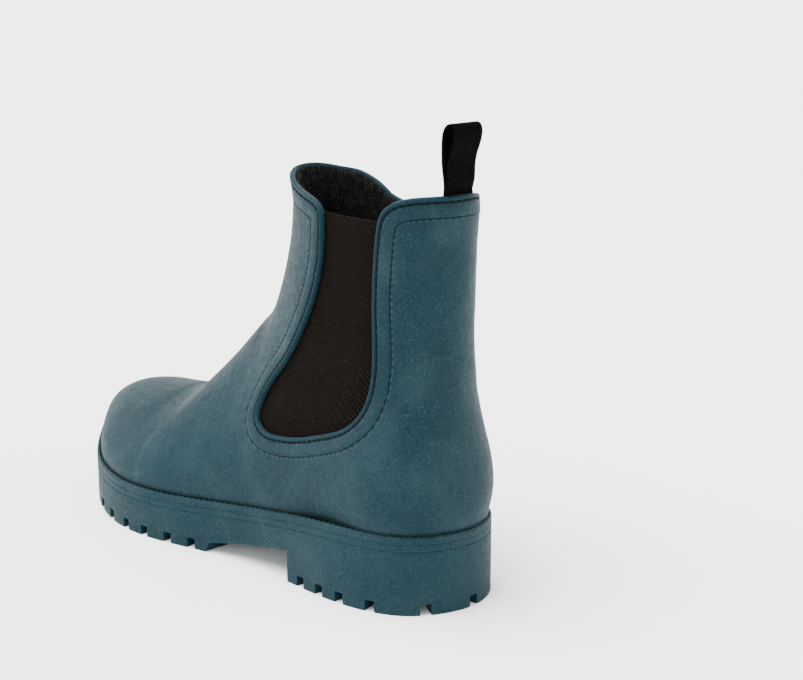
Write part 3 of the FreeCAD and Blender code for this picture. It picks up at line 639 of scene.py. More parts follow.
def make_sheet(name, outer, inner, faces, **settings):
    """A thin closed piece from the two faces of a sheet, joined round their open edges."""
    count = len(outer)
    seen = {}
    for f in faces:
        for a, b in zip(f, f[1:] + f[:1]):
            seen[(a, b)] = seen.get((a, b), 0) + 1
    rim = [(a, b) for (a, b) in seen if (b, a) not in seen]
    out = list(faces) + [[i + count for i in f[::-1]] for f in faces]
    out += [[b, a, a + count, b + count] for a, b in rim]
    return make_object(name, np.vstack([outer, inner]), out, **settings)


def ridge_and_back(chart, starts, ends, low_back, spacing):
    """Boundary lines along the front ridge and the back, through the ends of the rails."""
    ridge_u = chart.flat(starts[:, 0], starts[:, 1])[:, 0]
    count = max(int(ridge_u.min() / spacing), 3)
    u = np.linspace(0, ridge_u.min(), count + 1)[:-1]
    ridge = np.stack([np.interp(u, chart.along, chart.stations), np.zeros(count)], 1)
    ridge[0, 0] = chart.tip
    ridge = np.vstack([ridge, starts[ridge_u.argsort()]])
    back_u = chart.flat(ends[:, 0], ends[:, 1])[:, 0]
    low_u = chart.flat(np.array([low_back]), np.array([math.pi]))[0, 0]
    count = max(int((back_u.min() - low_u) / spacing), 3)
    u = np.linspace(low_u, back_u.min(), count + 1)[:-1]
    back = np.stack([np.interp(u, chart.along, chart.stations), np.full(count, math.pi)], 1)
    back[0, 0] = low_back
    return ridge, np.vstack([back, ends[back_u.argsort()]])


def keel(chart, low_turn):
    """Boundary line down the toe, from the ridge to the lower boundary."""
    turns = np.linspace(0, low_turn, 6)
    return np.stack([np.full(6, chart.tip), turns], 1)


def opening_loop(side):
    """A closed side-view outline of the air above a free edge."""
    return np.vstack([side, [(-90, side[-1][1]), (-90, 260), (120, 260), (120, side[0][1])]])


def edge_values(points, lines):
    """Distance of each point from the nearer of some lines, and how far along it."""
    found = [distance_to_line(points, line) for line in lines]
    far = np.stack([f[0] for f in found])
    run = np.stack([f[1] for f in found])
    nearest = far.argmin(0)
    index = np.arange(len(points))
    return far[nearest, index], run[nearest, index]


chart = Chart(skin)
edge_dense = outline_places(skin, spline(FREE_EDGE, 9000))
edge_dense = evenly(skin.point(*edge_dense.T), 0.12, edge_dense)
edge_line = skin.point(*edge_dense.T)
inner_edge_line = skin.point(edge_dense[:, 0], -edge_dense[:, 1])
edge = evenly(edge_line, 1.25, edge_dense)
edge_loop = opening_loop(spline(FREE_EDGE, 300))


def build_shell():
    """The rubber upper, with its lip, thread groove, flat band and moulded seam."""
    lines = [edge] + rails(skin, evenly(edge_line, 0.8, edge_dense), RAIL_DISTANCES, edge_line)
    low = lower_boundary(skin, chart, -3.0)
    starts, ends = np.array([l[0] for l in lines]), np.array([l[-1] for l in lines])
    ridge, back = ridge_and_back(chart, starts, ends, low[-1, 0], 2.2)

    def keep(places):
        points = skin.point(*places.T)
        far, _ = distance_to_line(points, edge_line)
        high = points[:, 2] - welt_top(points[:, 0]) > -1.6
        return high & (far > 13.2) & ~inside_loop(points[:, [0, 2]], edge_loop)
    loose = chart.fill(SHELL_SPACING, keep)
    places, faces = chart.mesh(lines + [low, ridge, back, keel(chart, low[0, 1])], loose)
    points, faces, normals = mirrored_mesh(places, faces)
    far, run = edge_values(points, [edge_line, inner_edge_line])
    counter = counter_distance(points)
    height = np.interp(far, *zip(*RELIEF)) + 0.2 * ease((counter + 0.4) / 1.6) * ease((far - 9) / 3)
    wall = np.interp(far, [0, 0.4, 1.0], [1.9, 2.25, SHELL_WALL - 0.02])
    outer = points + normals * height[:, None]
    inner = points - normals * wall[:, None]
    piece = make_sheet("rubber_upper", outer, inner, faces, node="upper_shell", slot="boot_rubber")
    add_value(piece, "edge_far", far, inside=30.0)
    add_value(piece, "edge_run", run)
    add_value(piece, "counter_far", counter, inside=-30.0)
    add_value(piece, "above_welt", points[:, 2] - welt_top(points[:, 0]))
    return piece


def counter_distance(points):
    """Signed distance from the heel counter's outline, more than 0 inside it."""
    side = spline(COUNTER_EDGE, 400)
    station, turn, _ = skin.place_at(*side.T)
    lines = [skin.point(station, turn), skin.point(station, -turn)]
    far = np.stack([distance_to_line(points, line)[0] for line in lines]).min(0)
    loop = np.vstack([side, [(-60, 117.4), (-60, 20), (49, 20)]])
    return np.where(inside_loop(points[:, [0, 2]], loop), far, -far)


# ---------------------------------------------------------------- sole unit
# The tread has a rim round its edge, a groove inside that, and bars with grooves between them.
TREAD_DEPTH = 5.4
TREAD_RIM = 15.0
TREAD_GROOVE = 4.5
BREAST_X, ARCH_END = 43.5, 102
ARCH = [(BREAST_X, 15.3), (60, 12.6), (80, 8.9), (99, 5.4), (ARCH_END, 0.0)]
UNDERSIDE_LINES = [x for x, _ in ARCH]
NOTCH_MOUTH, NOTCH_ROOT, NOTCH_REACH = 5.6, 3.6, 13.0
HEEL_SIDE_NOTCHES = [6.6, 20.5, 33.5]
HEEL_REAR_ANGLES = [74.4, 32.3, -5.5, -44.0, -87.3]
FOREFOOT_FIRST, FOREFOOT_PITCH = 111.0, 15.6
# Middle of each cross groove: four under the heel and eight under the forefoot.
BAR_PLACES = [-14, 3, 20, 36] + [114 + 15.5 * i for i in range(8)]


def underside(x, in_groove, side_of_breast):
    """Height of the sole's underside; side_of_breast is -1 behind the heel's front face."""
    x = np.asarray(x, float)
    base = np.where(x > ARCH_END, sole_bottom(x), 0.0)
    arch = np.interp(x, *zip(*ARCH))
    in_arch = (x > BREAST_X + 1e-6) & (x < ARCH_END)
    if side_of_breast > 0:
        in_arch |= np.abs(x - BREAST_X) < 1e-6
    height = base + TREAD_DEPTH * np.asarray(in_groove, float)
    return np.where(in_arch, np.maximum(arch, height * (x > 99)), height)


def notch_places(ring, inward):
    """Numbers of the sole-edge points where the notches are cut."""
    def at_side(x, sign):
        return int(np.where(ring[:, 1] * sign > -2, np.abs(ring[:, 0] - x), np.inf).argmin())

    found = [at_side(x, 1) for x in HEEL_SIDE_NOTCHES]
    found += [at_side(x, -1) for x in HEEL_SIDE_NOTCHES[1:]]
    for angle in np.radians(HEEL_REAR_ANGLES):
        aim = np.array([-math.cos(angle), math.sin(angle)])
        found.append(int((ring @ aim / np.linalg.norm(ring, axis=1) - (ring @ aim < 0)).argmax()))
    ends = [at_side(FOREFOOT_FIRST, sign) for sign in (1, -1)]
    far = run_lengths(ring)
    length = far[ends[1]] - far[ends[0]]
    count = round(length / FOREFOOT_PITCH)
    goals = far[ends[0]] + length * np.arange(count + 1) / count
    return found + [int(np.abs(far - g).argmin()) for g in goals]


def sole_top(x):
    return welt_top(x) - WELT_DROP


# Side face of the sole, from the welt down: depth below the sole's top and how far it stands in.
SIDE_STEPS = [(0.0, 0.45), (0.15, 0.42), (0.45, 0.12), (0.8, 0.0), (2.7, 0.0), (3.0, 0.12), (3.2, 0.5),
              (3.5, 0.5), (3.75, 0.12), (4.1, 0.0)]


def notch_outlines(ring, inward):
    """Plan outlines of the side notches, narrower at the root than at the mouth."""
    along = np.stack([-inward[:, 1], inward[:, 0]], 1)
    mouth, root = NOTCH_MOUTH / 2 * 0.93, NOTCH_ROOT / 2 * 1.15
    outlines = []
    for i in notch_places(ring, inward):
        outside, inside = ring[i] - inward[i] * 3, ring[i] + inward[i] * NOTCH_REACH
        outlines.append(np.array([outside - along[i] * mouth, outside + along[i] * mouth,
                                  inside + along[i] * root, inside - along[i] * root]))
    return outlines


def sole_plan(ring, inward):
    """The underside in plan: corners, faces, each face's centre, and whether it is in a groove."""
    notches = notch_outlines(ring, inward)
    groove_out, _ = plan_ring(TREAD_RIM, 300)
    groove_in, _ = plan_ring(TREAD_RIM + TREAD_GROOVE, 260)
    points, edges = [], []
    for loop in [ring, groove_out, groove_in] + notches:
        start = len(points)
        points += [tuple(p) for p in loop]
        edges += [(start + i, start + (i + 1) % len(loop)) for i in range(len(loop))]
    half = TREAD_GROOVE / 2
    cross_lines = [x for bar in BAR_PLACES for x in (bar - half, bar + half)]
    cross_lines += [*UNDERSIDE_LINES, *range(176, 246, 6)]
    for x in cross_lines:
        edges.append((len(points), len(points) + 1))
        points += [(x, -70), (x, 70)]
    corners, _, faces = delaunay_2d_cdt([Vector(p) for p in points], edges, [], 0, 1e-3)[:3]
    corners = np.array(corners)
    centres = np.array([corners[list(f)].mean(0) for f in faces])
    within = inside_loop(centres, ring)
    faces, centres = [f for f, ok in zip(faces, within) if ok], centres[within]
    grooved = inside_loop(centres, groove_out) & ~inside_loop(centres, groove_in)
    for notch in notches:
        grooved |= inside_loop(centres, notch)
    island = inside_loop(centres, groove_in)
    for bar in BAR_PLACES:
        grooved |= island & (np.abs(centres[:, 0] - bar) < half)
    grooved &= (centres[:, 0] <= BREAST_X) | (centres[:, 0] >= ARCH_END)
    return corners, faces, centres, grooved


def side_column(place, into, low, points):
    """Point numbers of the sole's side wall over one plan place, up through the moulded steps."""
    x, y = place
    column = sorted(low, key=lambda k: points[k][2])
    highest, top = points[column[-1]][2], float(sole_top(x))
    steps_start = top - SIDE_STEPS[-1][0]
    above = [(x, y, highest + (steps_start - highest) * share) for share in (0.35, 0.7)]
    above += [(x + into[0] * inset, y + into[1] * inset, top - drop) for drop, inset in SIDE_STEPS[::-1]]
    for point in above:
        column.append(len(points))
        points.append(point)
    return column


def build_sole():
    """The sole unit, from its underside in plan up through its side walls."""
    ring, inward = plan_ring(0.0, 640)
    corners, plan_faces, centres, grooved = sole_plan(ring, inward)
    # One copy of a corner for each height that the faces round it give it.
    copies, points, faces = {}, [], []

    def corner(i, groove, front):
        height = float(underside(corners[i, 0], groove, 1 if front else -1))
        key = (i, round(height, 3))
        if key not in copies:
            copies[key] = len(points)
            points.append((*corners[i], height))
        return copies[key]

    sides = {}
    for f, groove, centre in zip(plan_faces, grooved, centres):
        made = [corner(i, groove, centre[0] > BREAST_X) for i in f]
        faces.append(made[::-1])
        for a, b, p, q in zip(f, [*f[1:], f[0]], made, made[1:] + made[:1]):
            sides.setdefault((min(a, b), max(a, b)), []).append((p, q, a < b))
    # A wall stands where two faces differ in height; an edge with one face is on the rim.
    rim = []
    for (a, b), found in sides.items():
        p, q, forward = found[0]
        if len(found) == 1:
            rim.append(((a, b) if forward else (b, a), (p, q)))
            continue
        r, s, _ = found[1]
        wall = [p, q, r, s]
        wall = [k for n, k in enumerate(wall) if k != wall[n - 1]]
        if len(set(wall)) >= 3 and (p != s or q != r):
            faces.append(wall)
    tree = point_tree([(*p, 0) for p in ring])
    by_place = {}
    for (i, _), made in copies.items():
        by_place.setdefault(i, []).append(made)
    columns = {}
    for i in {i for places, _ in rim for i in places}:
        into = inward[tree.find((*corners[i], 0))[1]]
        columns[i] = side_column(corners[i], into, by_place[i], points)
    cap_centre = len(points)
    points.append((100.0, 0.0, float(sole_top(100.0))))
    for (a, b), (p, q) in rim:
        left, right = columns[a][columns[a].index(p):], columns[b][columns[b].index(q):]
        faces += strip_between(left, right, points)
        faces.append([left[-1], right[-1], cap_centre])
    piece = make_object("rubber_sole", np.array(points), faces, node="outsole", slot="sole_rubber")
    face_outward(piece, merge=0.01)
    piece.data.set_sharp_from_angle(angle=math.radians(38))
    return piece


def strip_between(left, right, points):
    """Triangles between two columns of points, in order of height."""
    faces, i, j = [], 0, 0
    while i < len(left) - 1 or j < len(right) - 1:
        step_left = j == len(right) - 1
        if not step_left and i < len(left) - 1:
            step_left = points[left[i + 1]][2] <= points[right[j + 1]][2]
        if step_left:
            faces.append([left[i], left[i + 1], right[j]])
            i += 1
        else:
            faces.append([left[i], right[j + 1], right[j]])
            j += 1
    return faces


# ---------------------------------------------------------------- welt
# Section of the welt: how far inside the sole's edge, and how far below the welt's top.
WELT_SECTION = [(2.75, 3.6), (2.75, 1.3), (2.15, 0.85), (1.75, 0.1), (1.35, -0.05), (0.75, 0.0),
                (0.3, 0.25), (0.05, 0.75), (0.0, 1.4), (0.0, 2.9), (0.12, 3.25), (0.5, 3.6)]
WELT_STITCH = 3.4


def build_welt():
    """The welt ledge round the foot, with its moulded stitch bumps."""
    count = 1440
    ring, inward = plan_ring(0.0, count)
    far = run_lengths(np.vstack([ring, ring[:1]]))
    pitches = round(far[-1] / WELT_STITCH)
    phase = far[:-1] / far[-1] * pitches * 2 * math.pi
    bump = np.clip(np.cos(phase) * 1.4, -0.9, 0.8)
    points = []
    for inset, drop in WELT_SECTION:
        raised = math.exp(-((inset - 1.5) / 0.55) ** 2) if drop < 1 else 0.0
        place = ring + inward * inset
        height = welt_top(ring[:, 0]) - drop + 0.4 * raised * bump
        points.append(np.column_stack([place, height]))
    faces = grid_faces(len(points), count, round_rows=True, round_columns=True)
    piece = make_object("rubber_welt", np.vstack(points), faces, node="welt_strip", slot="welt_rubber")
    add_value(piece, "inset", np.repeat([inset for inset, _ in WELT_SECTION], count))
    return piece


# ---------------------------------------------------------------- elastic gores and linings
def grown_gore():
    """The gore's opening grown by its hidden margin, from the rear top to the front top."""
    points = spline(FREE_EDGE, 61)
    low = points[:, 1].argmin()
    high = points[:, 1] > 174
    start, stop = np.nonzero(high[:low])[0][-1], low + np.nonzero(high[low:])[0][0]
    moved = inset_profile(points[start:stop + 1][::-1], -GORE_MARGIN)
    return spline(moved[moved[:, 1] < GORE_TOP - 2], 400)


PUCKER_WAY, PUCKER_PITCH = (0.62, -0.78), 2.0


def build_gore(sign, node):
    """One elastic side panel; sign is 1 on the outer side and -1 on the inner side."""
    side = grown_gore()
    side = side + (side.mean(0) - side) / np.linalg.norm(side.mean(0) - side, axis=1)[:, None] * 0.4
    top = np.stack([np.linspace(side[-1, 0], side[0, 0], 40), np.full(40, GORE_TOP)], 1)
    loop = np.vstack([side, top])
    station, turn, _ = skin.place_at(*loop.T)
    border = np.stack([station, turn], 1)
    border = evenly(skin.point(*border.T), 1.6, border)

    def keep(places):
        points = skin.point(*places.T)
        near, _ = distance_to_line(points, skin.point(*border.T))
        return inside_loop(points[:, [0, 2]], loop) & (near > 0.9)
    loose = chart.fill(GORE_SPACING, keep)
    places, faces = chart.mesh([np.vstack([border, border[:1]])], loose)
    faces = [f[::-1] for f in faces] if sign > 0 else faces
    points = skin.point(places[:, 0], sign * places[:, 1])
    normals = skin.normal(places[:, 0], sign * places[:, 1])
    x, z = points[:, 0], points[:, 2]
    edge_far, _ = distance_to_line(points, edge_line if sign > 0 else inner_edge_line)
    within = inside_loop(points[:, [0, 2]], edge_loop)
    # Small slanting puckers where the elastic is gathered into the lower rear seam. Every second
    # one is in the mesh, and the material draws them all in bump, painted shade and painted highlight.
    seam = np.exp(-(np.hypot(x - 1, z - 96) / 20) ** 2)
    seam += 0.6 * np.exp(-(np.hypot(x - 20, z - 80) / 14) ** 2)
    waves = np.sin((x * PUCKER_WAY[0] + z * PUCKER_WAY[1]) * math.pi / PUCKER_PITCH)
    pucker = seam * np.where(within, ease((26 - edge_far) / 20), 0)
    belly = 0.5 * np.where(within, ease(edge_far / 14), 0)
    depth = SHELL_WALL + 0.1 - belly + 0.2 * waves * pucker * ease(edge_far / 2.5)
    outer, inner = points - normals * depth[:, None], points - normals * (SHELL_WALL + LINING_WALL)
    piece = make_sheet("elastic_" + node, outer, inner, faces, node=node, slot="gore_elastic")
    add_value(piece, "pucker", pucker)
    return piece


def build_lining():
    """The knitted lining of the foot and shaft, in one piece."""
    side = spline(FREE_EDGE, 600)
    grown = grown_gore()[::-1]
    front = side[(side[:, 1] > 178) & (side[:, 0] > grown[0, 0] + 1)] - (0, 1.5)
    rear = side[(side[:, 1] > 180) & (side[:, 0] < grown[-1, 0] - 1)] - (0, 1.5)
    outline = np.vstack([front, grown, rear])
    steps = [np.linspace(a, b, 6)[:-1] for a, b in zip(outline, outline[1:])]
    dense = np.vstack([*steps, outline[-1:]])
    border = outline_places(skin, dense)
    border = evenly(skin.point(*border.T), 1.8, border)
    border_line = skin.point(*border.T)
    low = lower_boundary(skin, chart, 0.6)
    ridge, back = ridge_and_back(chart, border[:1], border[-1:], low[-1, 0], 3.0)
    loop = opening_loop(dense)

    def keep(places):
        points = skin.point(*places.T)
        far, _ = distance_to_line(points, border_line)
        high = points[:, 2] - welt_top(points[:, 0]) > 1.8
        return high & (far > 1.6) & ~inside_loop(points[:, [0, 2]], loop)
    loose = chart.fill(LINING_SPACING, keep)
    places, faces = chart.mesh([border, low, ridge, back, keel(chart, low[0, 1])], loose)
    points, faces, normals = mirrored_mesh(places, faces)
    outer, inner = points - normals * (SHELL_WALL + 0.05), points - normals * (SHELL_WALL + LINING_WALL)
    piece = make_sheet("knit_lining", outer, inner, faces, node=["front_lining", "rear_lining"],
                       slot="lining_knit")
    return piece


# ---------------------------------------------------------------- footbed
# Edge of the footbed, from its underside up: how far inside the sole's edge, and the height
# over the welt's top.
FOOTBED_EDGE = [(7.6, 0.7), (6.7, 1.1), (6.4, 2.2), (6.4, 4.3), (6.8, 5.1), (7.8, 5.5), (10.5, 5.6)]
FOOTBED_DISH = 0.5


def build_footbed():
    """The loose foam insole, a little dished."""
    rows, count = [], 360
    for inset, height in FOOTBED_EDGE:
        ring, _ = plan_ring(inset, count)
        rows.append(np.column_stack([ring, welt_top(ring[:, 0]) + height]))
    inset, height = FOOTBED_EDGE[-1]
    ring, _ = plan_ring(inset, count)
    middle = np.column_stack([ring[:, 0] * 0.9 + 9, mid_line(ring[:, 0])])
    for share in (0.8, 0.6, 0.4, 0.2):
        place = ring * share + middle * (1 - share)
        dished = welt_top(place[:, 0]) + height - FOOTBED_DISH * (1 - share)
        rows.append(np.column_stack([place, dished]))
    faces = grid_faces(len(rows), count, round_columns=True)
    # The top's middle and the underside are closed by strips across, heel to toe.
    last = (len(rows) - 1) * count
    for i in range(count // 2 - 1):
        faces.append([last + i, last + i + 1, last + count - 2 - i, last + count - 1 - i])
        faces.append([i + 1, i, count - 1 - i, count - 2 - i])
    piece = make_object("foam_footbed", np.vstack(rows), faces, node="footbed", slot="footbed_foam")
    face_outward(piece)
    return piece


# ---------------------------------------------------------------- thread
# A float of thread: places along it and the share of the radius there.
CAPSULE_RINGS = [(-0.5, 0.25), (-0.44, 0.72), (-0.3, 1.0), (0.3, 1.0), (0.44, 0.72), (0.5, 0.25)]
CAPSULE_SIDES = 8
STITCH_PITCH, STITCH_LENGTH, STITCH_RADIUS, STITCH_INSET = 3.7, 2.85, 0.5, 2.4
TOPLINE_LOWEST = 174


def capsule(place, along, up, length, radius, flat=0.75):
    """A short rounded float of thread: points and faces."""
    along = along / np.linalg.norm(along)
    up = up - along * (up @ along)
    up /= np.linalg.norm(up)
    across = np.cross(along, up)
    points = []
    for at, wide in CAPSULE_RINGS:
        for a in np.linspace(0, 2 * math.pi, CAPSULE_SIDES, endpoint=False):
            side = across * math.cos(a) + up * math.sin(a) * flat
            points.append(place + along * at * length + side * radius * wide)
    count = len(points)
    faces = [f[::-1] for f in grid_faces(len(CAPSULE_RINGS), CAPSULE_SIDES, round_columns=True)]
    faces += [list(range(CAPSULE_SIDES))[::-1], list(range(count - CAPSULE_SIDES, count))]
    return points, faces


def thread_piece(name, stitches, node):
    """One piece of thread from its separate floats."""
    points, faces = [], []
    for p, f in stitches:
        faces += [[i + len(points) for i in face] for face in f]
        points += list(p)
    return make_object(name, np.array(points), faces, node=node, slot="thread")


def build_stitching():
    """The row of stitches along the free edge, in the four pieces that the CAD has."""
    side = spline(FREE_EDGE, 2000)
    low = side[:, 1].argmin()
    front_end = side[np.nonzero(side[:low, 1] > 178.5)[0][-1]]
    rear_start = side[low + np.nonzero(side[low:, 1] > 180.0)[0][0]]
    line = rails(skin, evenly(edge_line, 0.8, edge_dense), [STITCH_INSET], edge_line)[0]
    front, rear = "front_topline_stitching", "rear_topline_stitching"
    rows = {front: [], rear: [], "lateral_gore_stitching": [], "medial_gore_stitching": []}
    for sign, gore in ((1, "lateral_gore_stitching"), (-1, "medial_gore_stitching")):
        side_line = line * (1, sign)
        far = run_lengths(skin.point(*side_line.T))
        count = int(round(far[-1] / STITCH_PITCH))
        for k in range(count):
            goal = (k + 0.5) * far[-1] / count
            place, ahead = ([np.interp(run, far, column) for column in side_line.T]
                            for run in (goal, goal + 0.5))
            here, there = skin.point(*place), skin.point(*ahead)
            normal = skin.normal(*(np.array([v]) for v in place))[0]
            stitch = capsule(here + normal * 0.05, there - here, normal, STITCH_LENGTH, STITCH_RADIUS)
            high = here[2] > TOPLINE_LOWEST
            node = front if high and here[0] > front_end[0] else gore
            node = rear if high and here[0] < rear_start[0] else node
            rows[node].append(stitch)
    return [thread_piece(node.replace("stitching", "thread"), row, node) for node, row in rows.items()]


# ---------------------------------------------------------------- pull loop
LOOP_OUTSIDE = [
    (-29.5, 189.3), (-29.7, 191.2), (-29.6, 193.6), (-29.0, 197), (-28.4, 201),
    (-28.2, 206), (-28.4, 212), (-29.4, 216.3), (-31.3, 218.7), (-33.5, 219.4), (-35.6, 218.6),
    (-36.7, 216.2), (-36.5, 213), (-35.5, 209.8), (-34.1, 206.3), (-33.1, 203), (-32.6, 199),
    (-32.5, 195.5), (-31.8, 192.4), (-31.0, 189.3)]
TAPE_WIDTH, TAPE_WALL = 16.5, 1.0
TAPE_ACROSS = np.linspace(-1, 1, 29)
ANCHOR_LOW, ANCHOR_TOP, LEAN_START = 167.3, 189.4, 184.0
# The tails' two faces: depth inside the skin, and the place along the boot at the top.
TAIL_FACES = ((3.8, -31.7), (5.9, -29.2))


def selvedge(run):
    """Half the tape's width across it, with fine scallops along its edges."""
    return TAPE_WIDTH / 2 + 0.16 * np.sin(2 * math.pi * run / 1.15 + 0.6 * TAPE_ACROSS)


def make_tape(name, outer, inner, run, held, rests_on, **settings):
    """Tape between two faces of points, in rows across it; run is each row's place along it."""
    faces = grid_faces(len(run), len(TAPE_ACROSS))
    piece = make_sheet(name, outer, inner, faces, slot="loop_tape", **settings)
    face_outward(piece)
    piece.data.set_sharp_from_angle(angle=math.radians(50))
    add_value(piece, "tape_run", np.repeat(run, len(TAPE_ACROSS)))
    add_value(piece, "tape_across", np.tile(TAPE_ACROSS * TAPE_WIDTH / 2, len(run)))
    return piece


def build_loop():
    """The pull loop's tape, which follows its profile over the top and down."""
    path = evenly(inset_profile(spline(LOOP_OUTSIDE, 700), TAPE_WALL / 2), 0.3)
    along = np.gradient(path, axis=0)
    along /= np.linalg.norm(along, axis=1)[:, None]
    run = run_lengths(path)
    rows = []
    for (x, z), far in zip(path, run):
        wave = 0.1 * np.sin(far / 4.3 + TAPE_ACROSS * 2.1)
        rows.append(np.column_stack([x + wave, TAPE_ACROSS * selvedge(far), z + 0 * wave]))
    points = np.vstack(rows)
    normals = np.column_stack([along[:, 1], np.zeros(len(path)), -along[:, 0]])
    out = np.repeat(normals, len(TAPE_ACROSS), axis=0) * TAPE_WALL / 2
    return make_tape("twill_pull_loop", points + out, points - out, run, "folded", ["rubber_upper"],
                     body="loop", node="pull_loop")


def tail_place(y, z, depth, top):
    """Where the tails lie: on the lining, then leaning forward to the loop's foot at the top."""
    wide = shaft_half(z) - depth
    lined = back_x(z) + depth + BACK_ROUNDING * (1 - np.sqrt(1 - (y / wide) ** 2))
    lean = ease((z - LEAN_START) / (ANCHOR_TOP - LEAN_START))
    return lined * (1 - lean) + top * lean


def build_anchor():
    """The tape's two tails sewn flat on the lining inside the rear rim, and their bar tack."""
    heights = np.linspace(ANCHOR_LOW, ANCHOR_TOP, 60)
    layers = []
    for depth, top in TAIL_FACES:
        rows = []
        for z in heights:
            y = TAPE_ACROSS * (selvedge(z) - 0.3)
            rows.append(np.column_stack([tail_place(y, z, depth, top), y, z + 0 * y]))
        layers.append(np.vstack(rows))
    piece = make_tape("twill_tails", *layers, heights - ANCHOR_LOW, "laid", ["knit_lining"],
                      node="pull_loop_anchor")
    tack_z = ANCHOR_TOP - 3.5
    stitches = []
    for k in range(17):
        y = -5.6 + 0.7 * k
        x = tail_place(y, tack_z, *TAIL_FACES[1]) + 0.05
        lean = 0.25 if k % 2 else -0.25
        place, along, up = np.array([(x, y, tack_z), (0, lean, 1), (1, 0, 0)], float)
        stitches.append(capsule(place, along, up, 2.5, 0.38))
    return piece, thread_piece("bar_tack_thread", stitches, "loop_bar_tack")


# ---------------------------------------------------------------- materials
class Look:
    """A material, with short ways to add and join its nodes."""

    def __init__(self, name, color, roughness, specular=0.4):
        self.material = bpy.data.materials.new(name)
        self.material.use_nodes = True
        self.tree = self.material.node_tree
        self.shader = self.tree.nodes["Principled BSDF"]
        self.color = color
        self.set("Base Color", (*color, 1))
        self.set("Roughness", roughness)
        self.set("Specular IOR Level", specular)
        self.place = self.add("ShaderNodeTexCoord").outputs["Object"]

    def set(self, name, value):
        """Give one of the shader's sockets a constant or another node's output."""
        self.put(self.shader.inputs[name], value)

    def put(self, socket, value):
        if isinstance(value, bpy.types.NodeSocket):
            self.tree.links.new(value, socket)
        else:
            socket.default_value = value

    def add(self, kind, *values, **settings):
        node = self.tree.nodes.new(kind)
        for name, value in settings.items():
            setattr(node, name, value)
        for socket, value in zip(node.inputs, values):
            if value is not None:
                self.put(socket, value)
        return node

    def noise(self, scale, detail=2.0, stretch=(1, 1, 1), distortion=0.0):
        place = self.add("ShaderNodeVectorMath", self.place, stretch, operation="MULTIPLY")
        node = self.add("ShaderNodeTexNoise", place.outputs[0])
        node.inputs["Scale"].default_value = scale
        node.inputs["Detail"].default_value = detail
        node.inputs["Distortion"].default_value = distortion
        return node.outputs[0]

    def ramp(self, value, low, high):
        """0 at a low value, easing to 1 at a high one."""
        node = self.add("ShaderNodeMapRange", value, low, high, interpolation_type="SMOOTHSTEP")
        return node.outputs[0]

    def math(self, operation, a, b=0.0):
        return self.add("ShaderNodeMath", a, b, operation=operation).outputs[0]

    def times(self, a, b):
        return self.math("MULTIPLY", a, b)

    def plus(self, a, b):
        return self.math("ADD", a, b)

    def opposite(self, value):
        return self.math("SUBTRACT", 1.0, value)

    def mix(self, share, a, b):
        node = self.add("ShaderNodeMix", data_type="RGBA")
        self.put(node.inputs[0], share)
        self.put(node.inputs[6], a if isinstance(a, bpy.types.NodeSocket) else (*a, 1))
        self.put(node.inputs[7], b if isinstance(b, bpy.types.NodeSocket) else (*b, 1))
        return node.outputs[2]

    def lay(self, share, strength, color):
        """Lay a colour over the look's own colour, by share times strength."""
        self.color = self.mix(self.times(share, strength), self.color, color)

    def value(self, name):
        return self.add("ShaderNodeAttribute", attribute_name=name).outputs["Fac"]

    def band(self, value, middle, half):
        """1 at the middle of a band of values, falling to 0 at its edges."""
        away = self.math("ABSOLUTE", self.math("SUBTRACT", value, middle))
        return self.opposite(self.ramp(away, half * 0.35, half))

    def dashes(self, value, pitch, share, shift=0.0):
        """1 along dashes that repeat, 0 in the gaps between them."""
        turn = self.math("FRACT", self.math("DIVIDE", self.plus(value, shift), pitch))
        away = self.math("ABSOLUTE", self.math("SUBTRACT", turn, 0.5))
        return self.opposite(self.ramp(away, share / 2 - 0.06, share / 2 + 0.06))

    def wave(self, value, pitch):
        """A sine of a value, from -1 to 1, that repeats at a pitch."""
        return self.math("SINE", self.times(value, 2 * math.pi / pitch))

    def axis(self, index):
        return self.add("ShaderNodeSeparateXYZ", self.place).outputs[index]

    def bump(self, height, depth, before=None):
        """Relief of a given depth in metres; a second one can build on it."""
        node = self.add("ShaderNodeBump")
        node.inputs["Strength"].default_value = 1.0
        node.inputs["Distance"].default_value = depth
        self.put(node.inputs["Height"], height)
        if before is not None:
            self.put(node.inputs["Normal"], before)
        self.set("Normal", node.outputs[0])
        return node.outputs[0]

    def give(self, *pieces):
        for piece in pieces:
            piece.data.materials.clear()
            piece.data.materials.append(self.material)


# Some of these colours are also used in the materials below for painted highlights and painted shade.
DEEP_TEAL = (0.0020, 0.0122, 0.0172)
PETROL = (0.0036, 0.0164, 0.0220)
BLOOM_AND_HIGHLIGHT = (0.0112, 0.0262, 0.0310)
FLECK_AND_HIGHLIGHT = (0.0125, 0.0379, 0.0440)
EDGE_TEAL = (0.0004, 0.0128, 0.0190)
DARK_SPECK_AND_SHADE = (0.0003, 0.0028, 0.0041)


def rubber(name, bloom=0.55):
    """Petrol-teal rubber: cloudy bloom, darker rubbed patches and fine pale grains."""
    look = Look(name, PETROL, 0.6, 0.07)
    clouds = look.ramp(look.noise(17, 5, distortion=0.6), 0.34, 0.68)
    patches = look.ramp(look.noise(52, 6, (1, 1, 0.7)), 0.42, 0.72)
    look.color = look.mix(clouds, DEEP_TEAL, PETROL)
    look.lay(patches, bloom, BLOOM_AND_HIGHLIGHT)
    thick = look.add("ShaderNodeMapRange", look.noise(90, 3), 0.3, 0.7, 0.3, 0.75).outputs[0]
    look.lay(look.ramp(look.noise(1100, 2.5), 0.51, 0.70), thick, FLECK_AND_HIGHLIGHT)
    look.lay(look.ramp(look.noise(850, 2.5), 0.54, 0.70), 0.45, DARK_SPECK_AND_SHADE)
    wear_and_edge_highlight = look.add("ShaderNodeMapRange", look.noise(300, 3), 0.3, 0.7, 0.52, 0.68)
    look.set("Roughness", wear_and_edge_highlight.outputs[0])
    look.set("Sheen Weight", 0.012)
    look.set("Sheen Roughness", 0.45)
    return look


